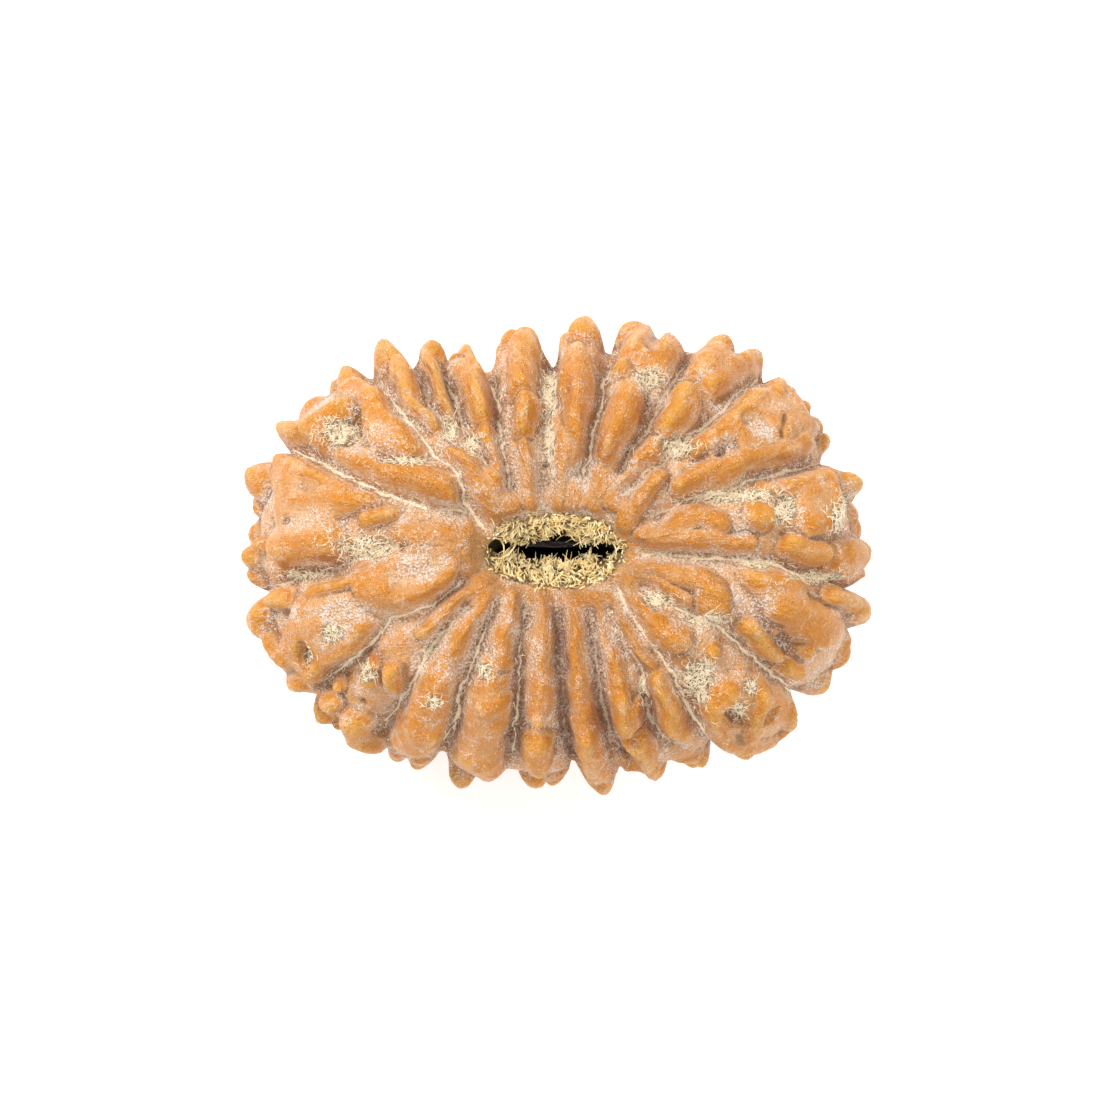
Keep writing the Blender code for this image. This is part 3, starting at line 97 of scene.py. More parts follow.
# The lobes of the upper side, face by face in the same order: half width, height, and the points in plan
# that the crest runs through. In millimetres.
UPPER_LOBES = (
    # Between the first groove and the second
    (0.62, 0.75, (4.2, 0.3), (5.3, 1.1), (6.4, 1.7), (7.5, 1.9), (8.4, 1.5)),
    (0.50, 0.65, (4.0, 0.45), (5.0, 0.6), (6.6, 0.75), (8.4, 0.55), (9.9, 0.35)),
    (0.78, 1.00, (10.4, 1.85)),
    (0.50, 0.80, (11.15, 3.5)),
    (0.68, 1.00, (12.2, 0.3), (13.0, 0.05), (13.6, -0.1)),
    (0.55, 1.00, (12.3, 4.0), (13.4, 4.1), (14.0, 4.1), (14.1, 3.2), (14.25, 2.2), (13.9, 1.6), (12.9, 1.4)),
    (0.60, 0.85, (13.2, 3.1)),
    (0.75, 1.00, (14.9, 0.0), (15.7, 0.1)),
    # Second to third
    (0.50, 0.80, (3.7, 1.2), (4.0, 2.3), (4.7, 3.3), (5.3, 4.0)),
    (0.55, 0.80, (6.6, 3.4), (8.0, 4.1), (9.6, 4.5), (11.2, 4.9), (12.6, 5.4), (13.1, 5.8)),
    (0.60, 0.90, (6.8, 5.4), (7.9, 6.2), (8.9, 6.8)),
    (0.85, 1.10, (9.3, 7.2), (10.3, 8.1)),
    (0.40, 0.70, (9.4, 6.2), (9.8, 5.6), (10.8, 5.4)),
    (0.45, 1.00, (11.4, 8.0), (11.6, 8.8)),
    (0.55, 0.90, (12.1, 7.9), (12.5, 7.2)),
    (0.50, 0.70, (12.8, 6.5)),
    # Third to fourth
    (0.55, 0.55, (3.3, 2.9), (3.7, 3.4), (4.3, 4.3), (4.7, 5.0), (5.1, 5.7)),
    (0.95, 1.20, (6.3, 6.7), (6.7, 7.8)),
    (0.90, 1.10, (7.9, 9.6), (8.6, 10.1)),
    (0.55, 0.80, (8.4, 8.7), (9.6, 8.9)),
    (0.60, 0.90, (9.3, 9.5), (10.3, 9.3)),
    (0.60, 1.20, (10.6, 9.8), (10.9, 10.1)),
    # Fourth to fifth
    (0.55, 0.42, (2.15, 2.9), (2.5, 3.4), (2.9, 4.7)),
    (0.88, 1.15, (2.9, 5.6), (3.4, 6.8), (3.8, 7.8)),
    (1.10, 1.30, (4.5, 10.3), (5.6, 10.3)),
    (0.55, 0.90, (3.6, 9.7)),
    (0.60, 0.90, (6.4, 10.0)),
    # Fifth to sixth
    (0.58, 0.55, (0.45, 2.9), (0.45, 4.8), (0.6, 6.0)),
    (0.45, 0.42, (1.15, 2.9), (1.25, 4.8), (1.5, 6.4)),
    (0.82, 1.30, (1.5, 6.4), (1.3, 8.2), (1.15, 10.0)),
    # Sixth to seventh
    (0.42, 0.45, (-1.35, 2.8), (-1.5, 3.2), (-1.45, 4.6), (-1.6, 5.6)),
    (0.62, 1.20, (-1.6, 6.5), (-1.4, 7.5)),
    (0.70, 1.15, (-1.75, 8.6), (-1.65, 10.0), (-1.35, 11.0)),
    # Seventh to eighth
    (0.55, 0.60, (-2.5, 2.7), (-2.9, 3.2), (-3.3, 4.6), (-3.6, 6.2)),
    (0.62, 1.20, (-3.8, 7.2), (-4.2, 8.6), (-4.25, 9.8)),
    (0.50, 1.00, (-4.9, 8.3), (-5.3, 9.6)),
    # Eighth to ninth
    (0.52, 1.10, (-5.4, 7.4), (-6.1, 8.3), (-6.4, 9.3), (-6.9, 10.1)),
    # Ninth to tenth
    (0.48, 0.55, (-3.25, 2.2), (-3.4, 2.4), (-3.9, 3.6), (-4.6, 4.7), (-5.2, 5.1)),
    (0.60, 1.10, (-6.3, 6.9), (-7.3, 7.6), (-7.8, 8.7), (-8.3, 9.7)),
    (0.80, 1.30, (-8.7, 9.9), (-9.6, 10.3)),
    # Tenth to eleventh
    (0.70, 0.80, (-5.3, 3.4), (-6.4, 3.8), (-7.6, 3.9), (-8.6, 3.8)),
    (0.45, 0.60, (-9.5, 4.5), (-10.7, 4.8)),
    (0.75, 0.80, (-7.3, 5.6), (-8.3, 6.6), (-9.2, 7.5)),
    (0.75, 1.10, (-9.5, 8.0)),
    (0.55, 1.10, (-10.6, 8.9), (-10.8, 9.3)),
    (0.58, 1.20, (-10.9, 7.3), (-11.8, 6.7), (-12.8, 6.0)),
    (0.60, 1.20, (-13.3, 6.0), (-14.1, 6.2)),
    # Eleventh to twelfth
    (0.55, 0.65, (-3.9, 0.8), (-4.7, 1.15), (-5.7, 1.2)),
    (0.40, 0.55, (-6.6, 0.85), (-8.0, 0.7)),
    (0.42, 0.65, (-8.4, 2.1), (-9.6, 1.75)),
    (0.50, 0.80, (-9.6, 2.85), (-11.0, 2.75), (-12.6, 2.7), (-13.6, 3.0), (-13.7, 4.2)),
    (0.50, 0.90, (-10.9, 3.6), (-12.3, 4.1), (-13.5, 4.6), (-14.3, 5.0)),
    (0.98, 1.30, (-15.1, 4.1)),
    (0.80, 1.00, (-11.7, 0.5), (-13.0, 0.4), (-14.1, 0.2)),
    (0.45, 0.80, (-14.0, -0.7)),
    (0.40, 0.80, (-15.2, 0.6)),
    # Twelfth to thirteenth
    (0.60, 0.75, (-4.1, 0.3), (-4.3, -0.3), (-5.1, -0.8), (-6.1, -1.6), (-7.3, -2.2), (-8.5, -2.2)),
    (0.75, 0.80, (-8.8, -1.9), (-9.6, -1.6)),
    (0.32, 0.60, (-10.3, -1.4), (-11.4, -1.6), (-12.7, -1.95)),
    (0.50, 0.90, (-14.0, -2.2), (-14.8, -2.2)),
    (0.60, 1.10, (-15.7, -2.9), (-15.0, -3.6)),
    (0.55, 0.90, (-14.6, -4.3), (-13.9, -5.2)),
    (0.55, 0.60, (-12.2, -3.4), (-13.0, -3.8)),
    (0.55, 0.80, (-9.7, -3.9), (-10.7, -4.8), (-11.8, -5.5), (-12.8, -6.1)),
    (0.62, 1.10, (-13.2, -6.3), (-13.7, -6.5)),
    # Thirteenth to fourteenth
    (0.40, 0.55, (-3.6, -1.4), (-4.6, -2.2), (-5.6, -2.9), (-6.9, -4.1)),
    (0.50, 0.90, (-9.6, -5.6), (-9.6, -6.3)),
    (0.45, 0.90, (-8.4, -5.9), (-8.3, -7.0)),
    (0.45, 0.90, (-11.6, -6.7)),
    (0.55, 1.00, (-11.5, -7.5), (-12.0, -7.3)),
    (0.95, 1.20, (-10.3, -8.6), (-10.1, -9.1)),
    # Fourteenth to fifteenth
    (0.68, 0.62, (-3.3, -2.3), (-4.0, -3.0), (-4.8, -3.8), (-5.6, -5.2), (-6.3, -6.5)),
    (0.80, 1.00, (-7.3, -8.5), (-6.9, -9.2)),
    (0.50, 1.10, (-6.4, -9.1)),
    # Fifteenth to sixteenth
    (0.62, 0.60, (-2.1, -2.4), (-2.8, -4.2), (-2.65, -5.4)),
    (0.60, 0.70, (-3.6, -5.8), (-3.4, -6.8)),
    (0.60, 1.00, (-3.8, -7.6), (-2.9, -7.5)),
    (0.40, 0.80, (-3.2, -8.5)),
    (0.72, 1.10, (-4.4, -10.2), (-3.7, -10.5)),
    # Sixteenth to seventeenth
    (0.66, 0.62, (-0.75, -2.5), (-0.75, -4.5), (-0.9, -6.5), (-0.85, -8.2)),
    (0.45, 1.00, (-0.85, -8.4)),
    (0.80, 1.20, (-1.0, -9.8), (-1.0, -10.6)),
    # Seventeenth to eighteenth
    (0.68, 0.70, (1.15, -2.5), (1.3, -2.9), (1.2, -4.8), (1.2, -6.6), (1.4, -8.2)),
    (0.62, 1.10, (1.6, -9.4), (1.95, -10.8)),
    # Eighteenth to nineteenth
    (0.58, 0.66, (2.2, -2.7), (2.6, -3.8), (3.0, -5.4), (3.2, -7.0)),
    (0.60, 1.10, (3.3, -7.4), (3.8, -8.8)),
    (0.45, 0.90, (4.3, -7.9), (4.5, -8.6)),
    (0.80, 1.10, (4.4, -9.8), (4.9, -10.5)),
    # Nineteenth to twentieth
    (0.45, 0.50, (3.0, -2.4), (3.4, -3.2), (4.1, -4.5), (4.9, -5.7)),
    (0.70, 1.00, (5.5, -6.7), (5.8, -7.8), (6.3, -9.0)),
    (0.50, 0.90, (6.8, -8.6), (7.1, -9.2)),
    # Twentieth to twenty-first
    (0.55, 0.80, (3.4, -1.1), (3.7, -1.7), (4.1, -2.6), (4.9, -3.7)),
    (0.90, 1.10, (5.5, -4.1), (6.0, -4.3)),
    (0.42, 0.60, (8.2, -4.8)),
    (0.45, 0.50, (6.7, -5.7)),
    (0.65, 1.10, (8.9, -6.8), (8.2, -7.6), (8.2, -8.8), (8.9, -9.5)),
    (0.55, 1.10, (8.9, -9.5), (10.2, -9.4), (11.6, -9.1), (12.4, -8.4), (12.5, -7.8)),
    (0.60, 1.10, (11.0, -6.9), (10.5, -7.8), (10.2, -8.9)),
    # Twenty-first back to the first
    (0.60, 0.75, (3.9, -0.2), (5.4, -0.6), (6.6, -0.9), (7.7, -1.4)),
    (0.78, 1.00, (8.1, -2.0), (8.1, -2.6)),
    (0.40, 0.50, (4.4, -1.1), (5.6, -1.8), (6.8, -2.4)),
    (0.48, 0.90, (10.3, -1.2), (11.5, -1.5), (12.6, -1.5)),
    (0.92, 1.10, (11.6, -2.4), (12.8, -3.0), (13.8, -3.8)),
    (0.62, 1.00, (9.9, -3.8), (10.6, -4.6), (11.5, -5.4)),
    (0.60, 1.00, (12.2, -6.0), (12.6, -6.2)),
    (0.35, 0.80, (13.1, -5.0), (13.3, -4.4)),
    (0.55, 1.00, (14.4, -2.1), (15.3, -2.4), (15.9, -3.0)),
)

# The broad lobes with level tops: height, and the corners of the outline in plan. In millimetres.
UPPER_PLATEAUS = (
    (0.80, (-11.1, 9.2), (-10.2, 9.5), (-9.0, 8.3), (-7.9, 7.1), (-6.6, 5.6), (-7.4, 5.0), (-8.9, 5.4),
     (-9.3, 6.1), (-9.6, 6.9), (-9.9, 7.7), (-10.9, 8.2)),
    (0.95, (-11.0, 7.5), (-12.3, 6.9), (-13.3, 6.5), (-14.4, 6.6), (-14.4, 5.6), (-13.2, 5.4), (-12.2, 5.4),
     (-11.6, 6.2), (-11.0, 6.7)),
    (0.45, (-11.2, 5.2), (-9.2, 5.1), (-9.0, 4.3), (-9.4, 3.9), (-10.3, 4.2), (-11.3, 4.7)),
    (0.80, (-8.9, 4.2), (-7.2, 4.5), (-5.9, 4.2), (-4.9, 3.9), (-4.75, 2.4), (-5.8, 2.6), (-7.0, 3.0), (-8.6, 3.6)),
    (0.75, (-14.4, 5.3), (-13.1, 5.0), (-12.1, 4.4), (-10.7, 3.8), (-9.4, 3.1), (-10.0, 2.4), (-11.2, 2.0),
     (-11.0, 1.2), (-11.1, 0.1), (-11.9, -0.4), (-14.2, -0.4), (-14.5, 0.6), (-13.9, 1.3), (-14.1, 3.1)),
    (0.60, (-4.0, 1.5), (-5.6, 1.5), (-7.6, 1.1), (-8.2, 0.5), (-8.3, -0.6), (-9.4, -0.95), (-10.3, -1.3),
     (-9.8, -2.0), (-9.3, -2.7), (-8.6, -3.05), (-7.4, -2.9), (-6.4, -2.5), (-5.2, -1.2), (-4.1, -0.6)),
    (0.50, (-13.1, -2.4), (-10.5, -2.2), (-9.9, -2.9), (-9.2, -3.6), (-9.4, -4.2), (-10.5, -5.1), (-11.8, -6.0),
     (-12.8, -6.6), (-13.9, -6.6), (-14.4, -5.2), (-13.6, -3.6)),
    (0.70, (-7.6, -6.9), (-6.9, -6.0), (-5.3, -6.0), (-5.5, -9.0), (-6.2, -10.0), (-7.3, -10.1), (-8.3, -9.6),
     (-8.1, -8.3)),
    (0.65, (-4.7, -6.6), (-2.6, -6.4), (-2.5, -8.6), (-3.0, -9.5), (-2.9, -11.0), (-3.5, -11.5), (-4.4, -11.0),
     (-5.2, -10.6), (-4.9, -9.2)),
    (0.80, (0.9, -8.4), (1.9, -8.6), (2.7, -10.2), (2.7, -11.3), (1.8, -11.6), (1.2, -10.8)),
    (0.55, (8.5, -6.3), (9.5, -6.1), (10.1, -6.6), (11.5, -6.4), (12.6, -7.2), (12.6, -8.4), (11.8, -9.2),
     (9.9, -9.9), (8.3, -9.7), (7.7, -8.6), (7.9, -7.3)),
    (0.85, (10.0, -0.6), (11.2, -0.7), (12.9, -1.3), (12.6, -1.9), (13.0, -2.6), (14.2, -3.0), (14.3, -3.9),
     (13.6, -4.6), (12.8, -4.3), (11.9, -3.5), (10.9, -2.6), (10.2, -1.8), (9.7, -1.0)),
    (0.80, (14.6, 0.5), (15.9, 0.6), (16.1, -0.9), (15.3, -1.2), (14.3, -0.8)),
    (0.85, (12.6, 1.1), (13.9, 1.2), (14.4, 1.9), (14.3, 3.0), (14.0, 3.3), (14.4, 4.6), (13.6, 4.7), (12.1, 4.3),
     (11.7, 4.0), (11.8, 3.4), (12.6, 3.2), (12.6, 2.4), (12.3, 1.8)),
    (0.65, (7.2, 3.2), (8.5, 3.4), (10.0, 4.2), (11.8, 4.6), (13.1, 5.0), (13.3, 5.7), (12.5, 5.9), (11.4, 5.4),
     (10.0, 5.2), (8.5, 4.7), (6.9, 4.1)),
    (0.80, (7.4, 5.9), (8.1, 6.8), (9.2, 7.9), (9.7, 8.5), (10.4, 8.7), (10.9, 8.3), (11.6, 9.0), (12.1, 8.4),
     (12.7, 7.1), (13.4, 6.5), (12.3, 6.1), (11.4, 5.6), (10.1, 5.5), (9.3, 5.9), (8.5, 5.9), (7.9, 5.5)),
    (0.75, (7.4, 10.3), (8.9, 10.5), (9.4, 10.0), (10.0, 10.4), (10.9, 10.5), (11.2, 9.9), (11.0, 9.0),
     (10.2, 8.85), (9.3, 8.9), (8.3, 8.7), (7.4, 9.3)),
    (1.00, (3.5, 9.9), (3.9, 11.0), (4.5, 11.6), (5.5, 11.3), (6.5, 10.6), (6.9, 10.0), (5.6, 9.4), (4.4, 9.6)),
)

# The lobes that make the outline seen from above: half width, the tip in plan, and the heights above the
# widest level between which the lobe runs. In millimetres.
RIM_LOBES = (
    (0.75, (16.4, 0.2), 2.0, -0.6),
    (0.70, (15.8, 2.2), 1.2, -1.8),
    (0.58, (16.2, 3.95), 2.4, 1.6),
    (0.45, (15.1, 5.1), 0.8, -2.2),
    (0.50, (14.8, 6.0), 2.6, 1.4),
    (0.55, (13.9, 6.9), 1.0, -1.4),
    (0.45, (13.5, 7.9), 2.0, 1.0),
    (0.42, (12.75, 8.8), 1.2, -0.4),
    (0.75, (12.2, 9.9), 1.6, -1.0),
    (0.60, (10.9, 10.5), 3.2, 1.6),
    (0.75, (9.5, 11.4), 1.4, -1.0),
    (0.45, (7.6, 11.1), 0.0, -2.4),
    (0.50, (6.6, 11.3), 0.8, -2.0),
    (0.60, (5.6, 11.6), 2.0, -0.4),
    (0.78, (4.55, 12.35), 2.0, -0.6),
    (0.60, (2.6, 12.1), 1.0, -2.0),
    (0.75, (1.75, 12.6), 2.8, 0.0),
    (0.60, (-0.9, 11.5), 3.6, 2.0),
    (0.75, (-2.2, 11.9), 1.6, -1.2),
    (0.55, (-4.5, 11.2), 0.8, -1.8),
    (0.50, (-5.9, 10.9), 0.4, -2.2),
    (0.62, (-7.4, 11.3), 2.4, -0.4),
    (0.45, (-8.3, 10.8), 0.2, -2.4),
    (0.75, (-9.7, 11.0), 2.6, -0.2),
    (0.30, (-11.3, 9.8), 3.2, 2.6),
    (0.45, (-11.7, 9.1), 1.0, -1.6),
    (0.75, (-13.0, 7.8), 1.4, -1.0),
    (0.58, (-14.5, 6.3), 2.8, 1.4),
    (0.90, (-16.0, 4.1), 3.0, 1.4),
    (0.50, (-15.8, 2.6), 1.8, -0.2),
    (0.50, (-16.1, 1.2), 1.6, -0.4),
    (0.62, (-16.5, -0.1), 2.2, 0.0),
    (0.62, (-16.4, -1.3), 1.6, -0.8),
    (0.70, (-16.3, -3.0), 3.0, 1.8),
    (0.80, (-15.2, -4.8), 0.8, -2.0),
    (0.60, (-13.8, -7.1), 2.8, 1.6),
    (0.55, (-12.75, -8.4), 1.2, -1.2),
    (0.40, (-11.8, -8.8), 0.8, -1.6),
    (0.85, (-10.4, -10.1), 3.0, 1.2),
    (0.55, (-8.8, -10.5), 1.0, -1.6),
    (0.65, (-7.3, -11.0), 1.2, -1.2),
    (0.62, (-5.5, -12.1), 1.8, -0.6),
    (0.60, (-3.6, -11.9), 1.8, -0.4),
    (0.45, (-1.1, -12.2), 2.2, 0.0),
    (0.80, (0.0, -11.8), 0.2, -2.6),
    (0.85, (2.75, -12.5), 1.6, -1.0),
    (0.80, (5.1, -11.9), 2.4, -0.2),
    (0.80, (7.4, -11.0), 1.8, -0.6),
    (0.50, (8.5, -11.0), 0.8, -1.6),
    (0.75, (10.6, -10.4), 1.0, -1.6),
    (0.75, (12.9, -8.4), 3.0, 1.4),
    (0.75, (14.5, -6.9), 1.4, -1.2),
    (0.60, (15.5, -4.6), 1.2, -1.4),
    (0.70, (16.7, -3.0), 2.4, 0.0),
    (0.60, (16.9, -1.4), 1.4, -0.6),
)

# Notches between the rim lobes: half width and depth in millimetres, and the azimuth in degrees.
RIM_NOTCHES = (
    (0.62, 1.5, 91),
    (0.70, 0.9, 110),
    (0.60, 0.6, 75),
    (0.50, 0.6, 63),
    (0.50, 0.5, 276),
    (0.60, 0.5, 292),
    (0.50, 0.5, 241),
)

# Pits between the lobes: radius, depth, and the points in plan that the pit runs through. In millimetres.
UPPER_PITS = (
    (0.42, 1.25, (-12.9, -4.6), (-12.95, -5.3)),
    (0.45, 0.80, (9.2, -8.0), (9.6, -8.4)),
    (0.38, 0.80, (10.9, -8.4), (11.4, -7.9)),
    (0.45, 0.60, (-14.8, 1.7)),
    (0.42, 0.60, (13.3, -2.1)),
    (0.50, 0.60, (12.0, -4.4), (12.4, -5.0)),
    (0.50, 0.60, (-10.4, 7.1), (-10.4, 6.3), (-10.9, 5.8)),
    (0.30, 0.50, (11.65, 6.05)),
    (0.75, 0.40, (10.0, 6.5), (10.7, 6.3)),
    (0.35, 0.40, (-0.4, 4.6)),
    (0.35, 0.50, (5.1, 9.2), (4.9, 8.2)),
    (0.40, 0.40, (8.5, 5.3)),
    (0.55, 0.30, (-12.8, 3.6), (-12.3, 3.4)),
    (1.05, 0.40, (-7.6, -1.2), (-6.5, -0.5)),
    (0.22, 0.40, (-13.6, 1.55), (-13.3, 1.5)),
    (0.25, 0.25, (11.8, 6.8), (11.7, 6.4)),
    (0.35, 0.40, (-10.2, -7.7)),
)

# What the finish reads at each vertex of the nut, among them the masks for painted shade along grooves and on
# flanks.
FACTS = (
    "rise", "hollow", "crease", "polish", "seam", "seam_near", "strength", "groove_shade", "strand", "funnel", "deep",
    "frost", "debris", "flank_shade",
)

# Those of them that are lengths, and that the finish reads in millimetres.
LENGTHS = ("rise", "hollow", "crease", "seam", "seam_near")

# For each upper groove, in the order of the table above: how clearly its pale thread shows, and how much painted
# shade darkens it.
THREADS = (
    (1.0, 0.0), (0.7, 0.1), (0.6, 0.2), (0.4, 0.5), (0.7, 0.6), (0.1, 0.3), (0.7, 0.6), (0.5, 0.7), (0.3, 0.6),
    (1.0, 0.1), (1.0, 0.0), (0.5, 0.3), (0.9, 0.2), (0.7, 0.3), (0.9, 0.7), (0.7, 0.9), (0.1, 1.0), (0.3, 0.8),
    (0.4, 0.6), (0.9, 0.3), (0.9, 0.1),
)

# Where the nut is frosted pale pink between its polished lobes: place in plan, half sizes and strength.
FROST_ZONES = (
    (-8.2, 6.6, 1.6, 1.2, 0.5),
    (-12.4, 7.6, 1.0, 0.9, 0.6),
    (-6.9, -0.7, 1.3, 0.9, 1.0),
    (-10.2, 5.0, 1.3, 0.6, 0.8),
    (-5.4, 2.1, 1.0, 0.6, 0.6),
    (10.5, 6.2, 1.0, 0.7, 0.9),
    (15.5, 3.7, 0.9, 0.8, 0.7),
    (-5.7, -5.2, 0.8, 1.6, 0.8),
    (2.2, -4.8, 0.8, 1.8, 0.8),
    (0.0, 3.6, 3.2, 1.4, 0.8),
    (-0.8, -5.6, 0.6, 2.1, 0.7),
    (-2.6, -3.6, 0.6, 1.0, 0.7),
    (1.3, -5.6, 0.6, 1.9, 0.5),
    (0.2, -3.6, 3.0, 0.9, 0.5),
    (-3.5, -4.0, 1.4, 1.6, 0.6),
    (7.0, -0.15, 2.2, 0.4, 1.0),
    (9.6, 1.1, 0.9, 0.7, 0.7),
    (-12.8, 1.6, 1.5, 0.7, 0.6),
    (-10.9, -3.0, 1.8, 0.8, 0.8),
    (10.7, -2.7, 0.8, 1.0, 0.6),
    (6.2, -3.8, 0.6, 0.5, 0.5),
    (8.6, 5.6, 1.0, 0.5, 0.7),
    (-15.3, 3.2, 0.8, 0.7, 0.4),
    (13.9, -6.8, 0.7, 0.6, 0.6),
    (4.6, 8.5, 0.7, 0.9, 0.8),
    (-3.2, 5.3, 0.7, 1.0, 0.5),
)

# Where painted reddish-brown shade darkens a flank turned from the light: place in plan, half sizes and strength.
FLANK_SHADE_ZONES = (
    (4.6, -8.3, 0.5, 0.8, 1.0),
    (7.0, -8.5, 0.5, 0.7, 1.0),
    (4.5, 7.2, 0.4, 0.8, 0.9),
    (-8.2, -8.4, 0.6, 0.5, 0.8),
    (12.0, 4.9, 0.9, 0.3, 0.7),
    (-11.5, -0.3, 1.6, 0.3, 0.8),
    (-14.0, -0.7, 0.5, 0.4, 0.7),
    (2.0, -8.4, 0.4, 1.3, 0.8),
    (-9.2, -5.2, 0.5, 0.4, 0.8),
    (-11.6, -6.1, 0.7, 0.4, 0.7),
    (2.1, 5.6, 0.35, 1.2, 0.7),
    (-3.3, 7.6, 0.3, 1.0, 0.6),
    (13.0, -0.8, 0.8, 0.3, 0.7),
    (8.3, -4.6, 0.4, 0.4, 0.6),
    (-6.9, 8.8, 0.3, 0.8, 0.7),
    (0.7, 8.4, 0.3, 1.2, 0.6),
)

# Where cream fibrous debris lies: place in plan, half sizes, and how many loose fibres.
DEBRIS_ZONES = (
    (-11.0, 6.2, 1.1, 0.8, 90),
    (-9.6, 0.3, 1.6, 0.6, 150),
    (-7.5, 4.65, 1.1, 0.25, 50),
    (-5.4, 6.2, 0.35, 0.6, 45),
    (-4.2, 5.6, 0.35, 0.5, 35),
    (-11.5, -4.1, 0.6, 0.5, 30),
    (-0.3, 8.3, 0.45, 1.6, 120),
    (-0.35, 5.6, 0.35, 1.2, 60),
    (4.9, 8.9, 0.7, 0.5, 60),
    (6.2, 5.3, 0.9, 0.6, 60),
    (8.6, 2.9, 1.7, 0.35, 90),
    (10.4, 2.9, 0.8, 0.3, 40),
    (11.7, 2.2, 0.6, 0.8, 70),
    (14.6, 1.8, 0.5, 0.9, 60),
    (15.0, 2.6, 0.3, 0.3, 20),
    (5.2, -2.4, 0.9, 0.35, 50),
    (7.6, -3.4, 1.0, 0.35, 60),
    (7.2, -6.5, 0.8, 1.1, 120),
    (10.0, -6.9, 0.4, 0.4, 20),
    (4.4, -6.8, 0.2, 0.8, 25),
    (-6.2, -7.6, 0.4, 0.4, 20),
    (-3.6, -6.0, 0.4, 0.4, 20),
    (-6.5, -4.9, 0.4, 0.3, 12),
    (-12.8, -5.3, 0.3, 0.5, 14),
    (10.3, -0.6, 0.8, 0.25, 40),
    (13.5, -1.2, 1.6, 0.25, 70),
    (-13.0, -1.1, 1.2, 0.3, 50),
    (9.4, -8.1, 0.4, 0.5, 30),
    (-9.7, -6.1, 0.5, 0.6, 25),
)

# The slit between the fibres, painted black as shade on the channel's wall: place along it, its middle and its half
# height, in millimetres.
MOUTH_SLIT = (
    (-3.5, 0.45, 0.12), (-3.2, 0.42, 0.24), (-2.5, 0.38, 0.32), (-1.5, 0.20, 0.26), (-0.6, 0.36, 0.36),
    (0.2, 0.62, 0.40), (1.0, 0.45, 0.30), (1.6, 0.24, 0.24), (2.3, 0.30, 0.28), (2.9, 0.22, 0.22), (3.3, 0.15, 0.10),
)

# Bright straws that lie across the slit: root in plan, heading in radians, and how far below the rim.
CROSSING_STRAWS = (
    ((-1.95, 0.58), -2.45, 0.35),
    ((-2.0, 0.18), -2.40, 0.30),
    ((-2.3, 0.28), -2.55, 0.45),
    ((-2.9, 0.72), -1.30, 0.30),
    ((2.75, 0.62), -1.05, 0.35),
)


class Slot(Enum):
    """The record's material slots."""

    SHELL = SLOT


class FibreGrowth(Enum):
    """How a kind of fibre grows from the nut."""

    TUFT = "tuft"
    LYING = "lying"


def oval_radius(azimuth: Points | float, half_axes: PlanPoint, power: float = 2.0) -> Points | float:
    """Finds how far an oval reaches in each direction.

    Args:
        azimuth: The directions, in radians.
        half_axes: The oval's half length and half breadth.
        power: 2 for an ellipse, more for a fuller oval.

    Returns:
        The reach in each direction, in the unit of the half axes.
    """
    length, breadth = half_axes
    along = (np.abs(np.cos(azimuth)) / length) ** power
    across = (np.abs(np.sin(azimuth)) / breadth) ** power
    return (along + across) ** (-1 / power)


def distance_to_line(points: Points, line: Points) -> Points:
    """Measures how far each point is from a line through points, or from a single point.

    Args:
        points: The points, one to a row.
        line: The line's points, one to a row.

    Returns:
        The distance of each point.
    """
    if len(line) == 1:
        return np.linalg.norm(points - line[0], axis=1)
    nearest = np.full(len(points), np.inf)
    for first, second in zip(line, line[1:]):
        run = second - first
        along = np.clip((points - first) @ run / max(float(run @ run), 1e-12), 0.0, 1.0)
        nearest = np.minimum(nearest, np.linalg.norm(points - first - along[:, None] * run, axis=1))
    return nearest


def depth_in_outline(points: Points, outline: Points) -> Points:
    """Measures how far inside a closed outline each point lies in plan.

    Args:
        points: The points in plan, one to a row.
        outline: The outline's corners, one to a row.

    Returns:
        The distance to the outline, less than zero outside it.
    """
    away = np.full(len(points), np.inf)
    inside = np.zeros(len(points), dtype=bool)
    for first, second in zip(outline, np.roll(outline, -1, axis=0)):
        run = second - first
        along = np.clip((points - first) @ run / (run @ run), 0.0, 1.0)
        away = np.minimum(away, np.linalg.norm(points - first - along[:, None] * run, axis=1))
        spans = (first[1] > points[:, 1]) != (second[1] > points[:, 1])
        if run[1]:
            inside ^= spans & (points[:, 0] < first[0] + (points[:, 1] - first[1]) * run[0] / run[1])
    return np.where(inside, away, -away)


def wandered(points: Points, reach: float, size: float) -> Points:
    """Shifts points by smooth noise, so that nothing keeps a ruled outline.

    Args:
        points: The points, one to a row.
        reach: The farthest shift, in metres.
        size: The size of the noise, in metres.

    Returns:
        The shifted points.
    """
    shifts = [noise.noise_vector(Vector(point) / size) for point in points]
    return points + reach * np.array(shifts)


def noise_at(points: Points, size: float, octaves: int = 3) -> Points:
    """Samples layered noise.

    Args:
        points: The points, one to a row.
        size: The size of the coarsest lumps, in metres.
        octaves: How many layers, each half as coarse as the last.

    Returns:
        The noise at each point, roughly from -1 to 1.
    """
    return np.array([noise.fractal(Vector(point) / size, 1.0, 2.0, octaves) for point in points])


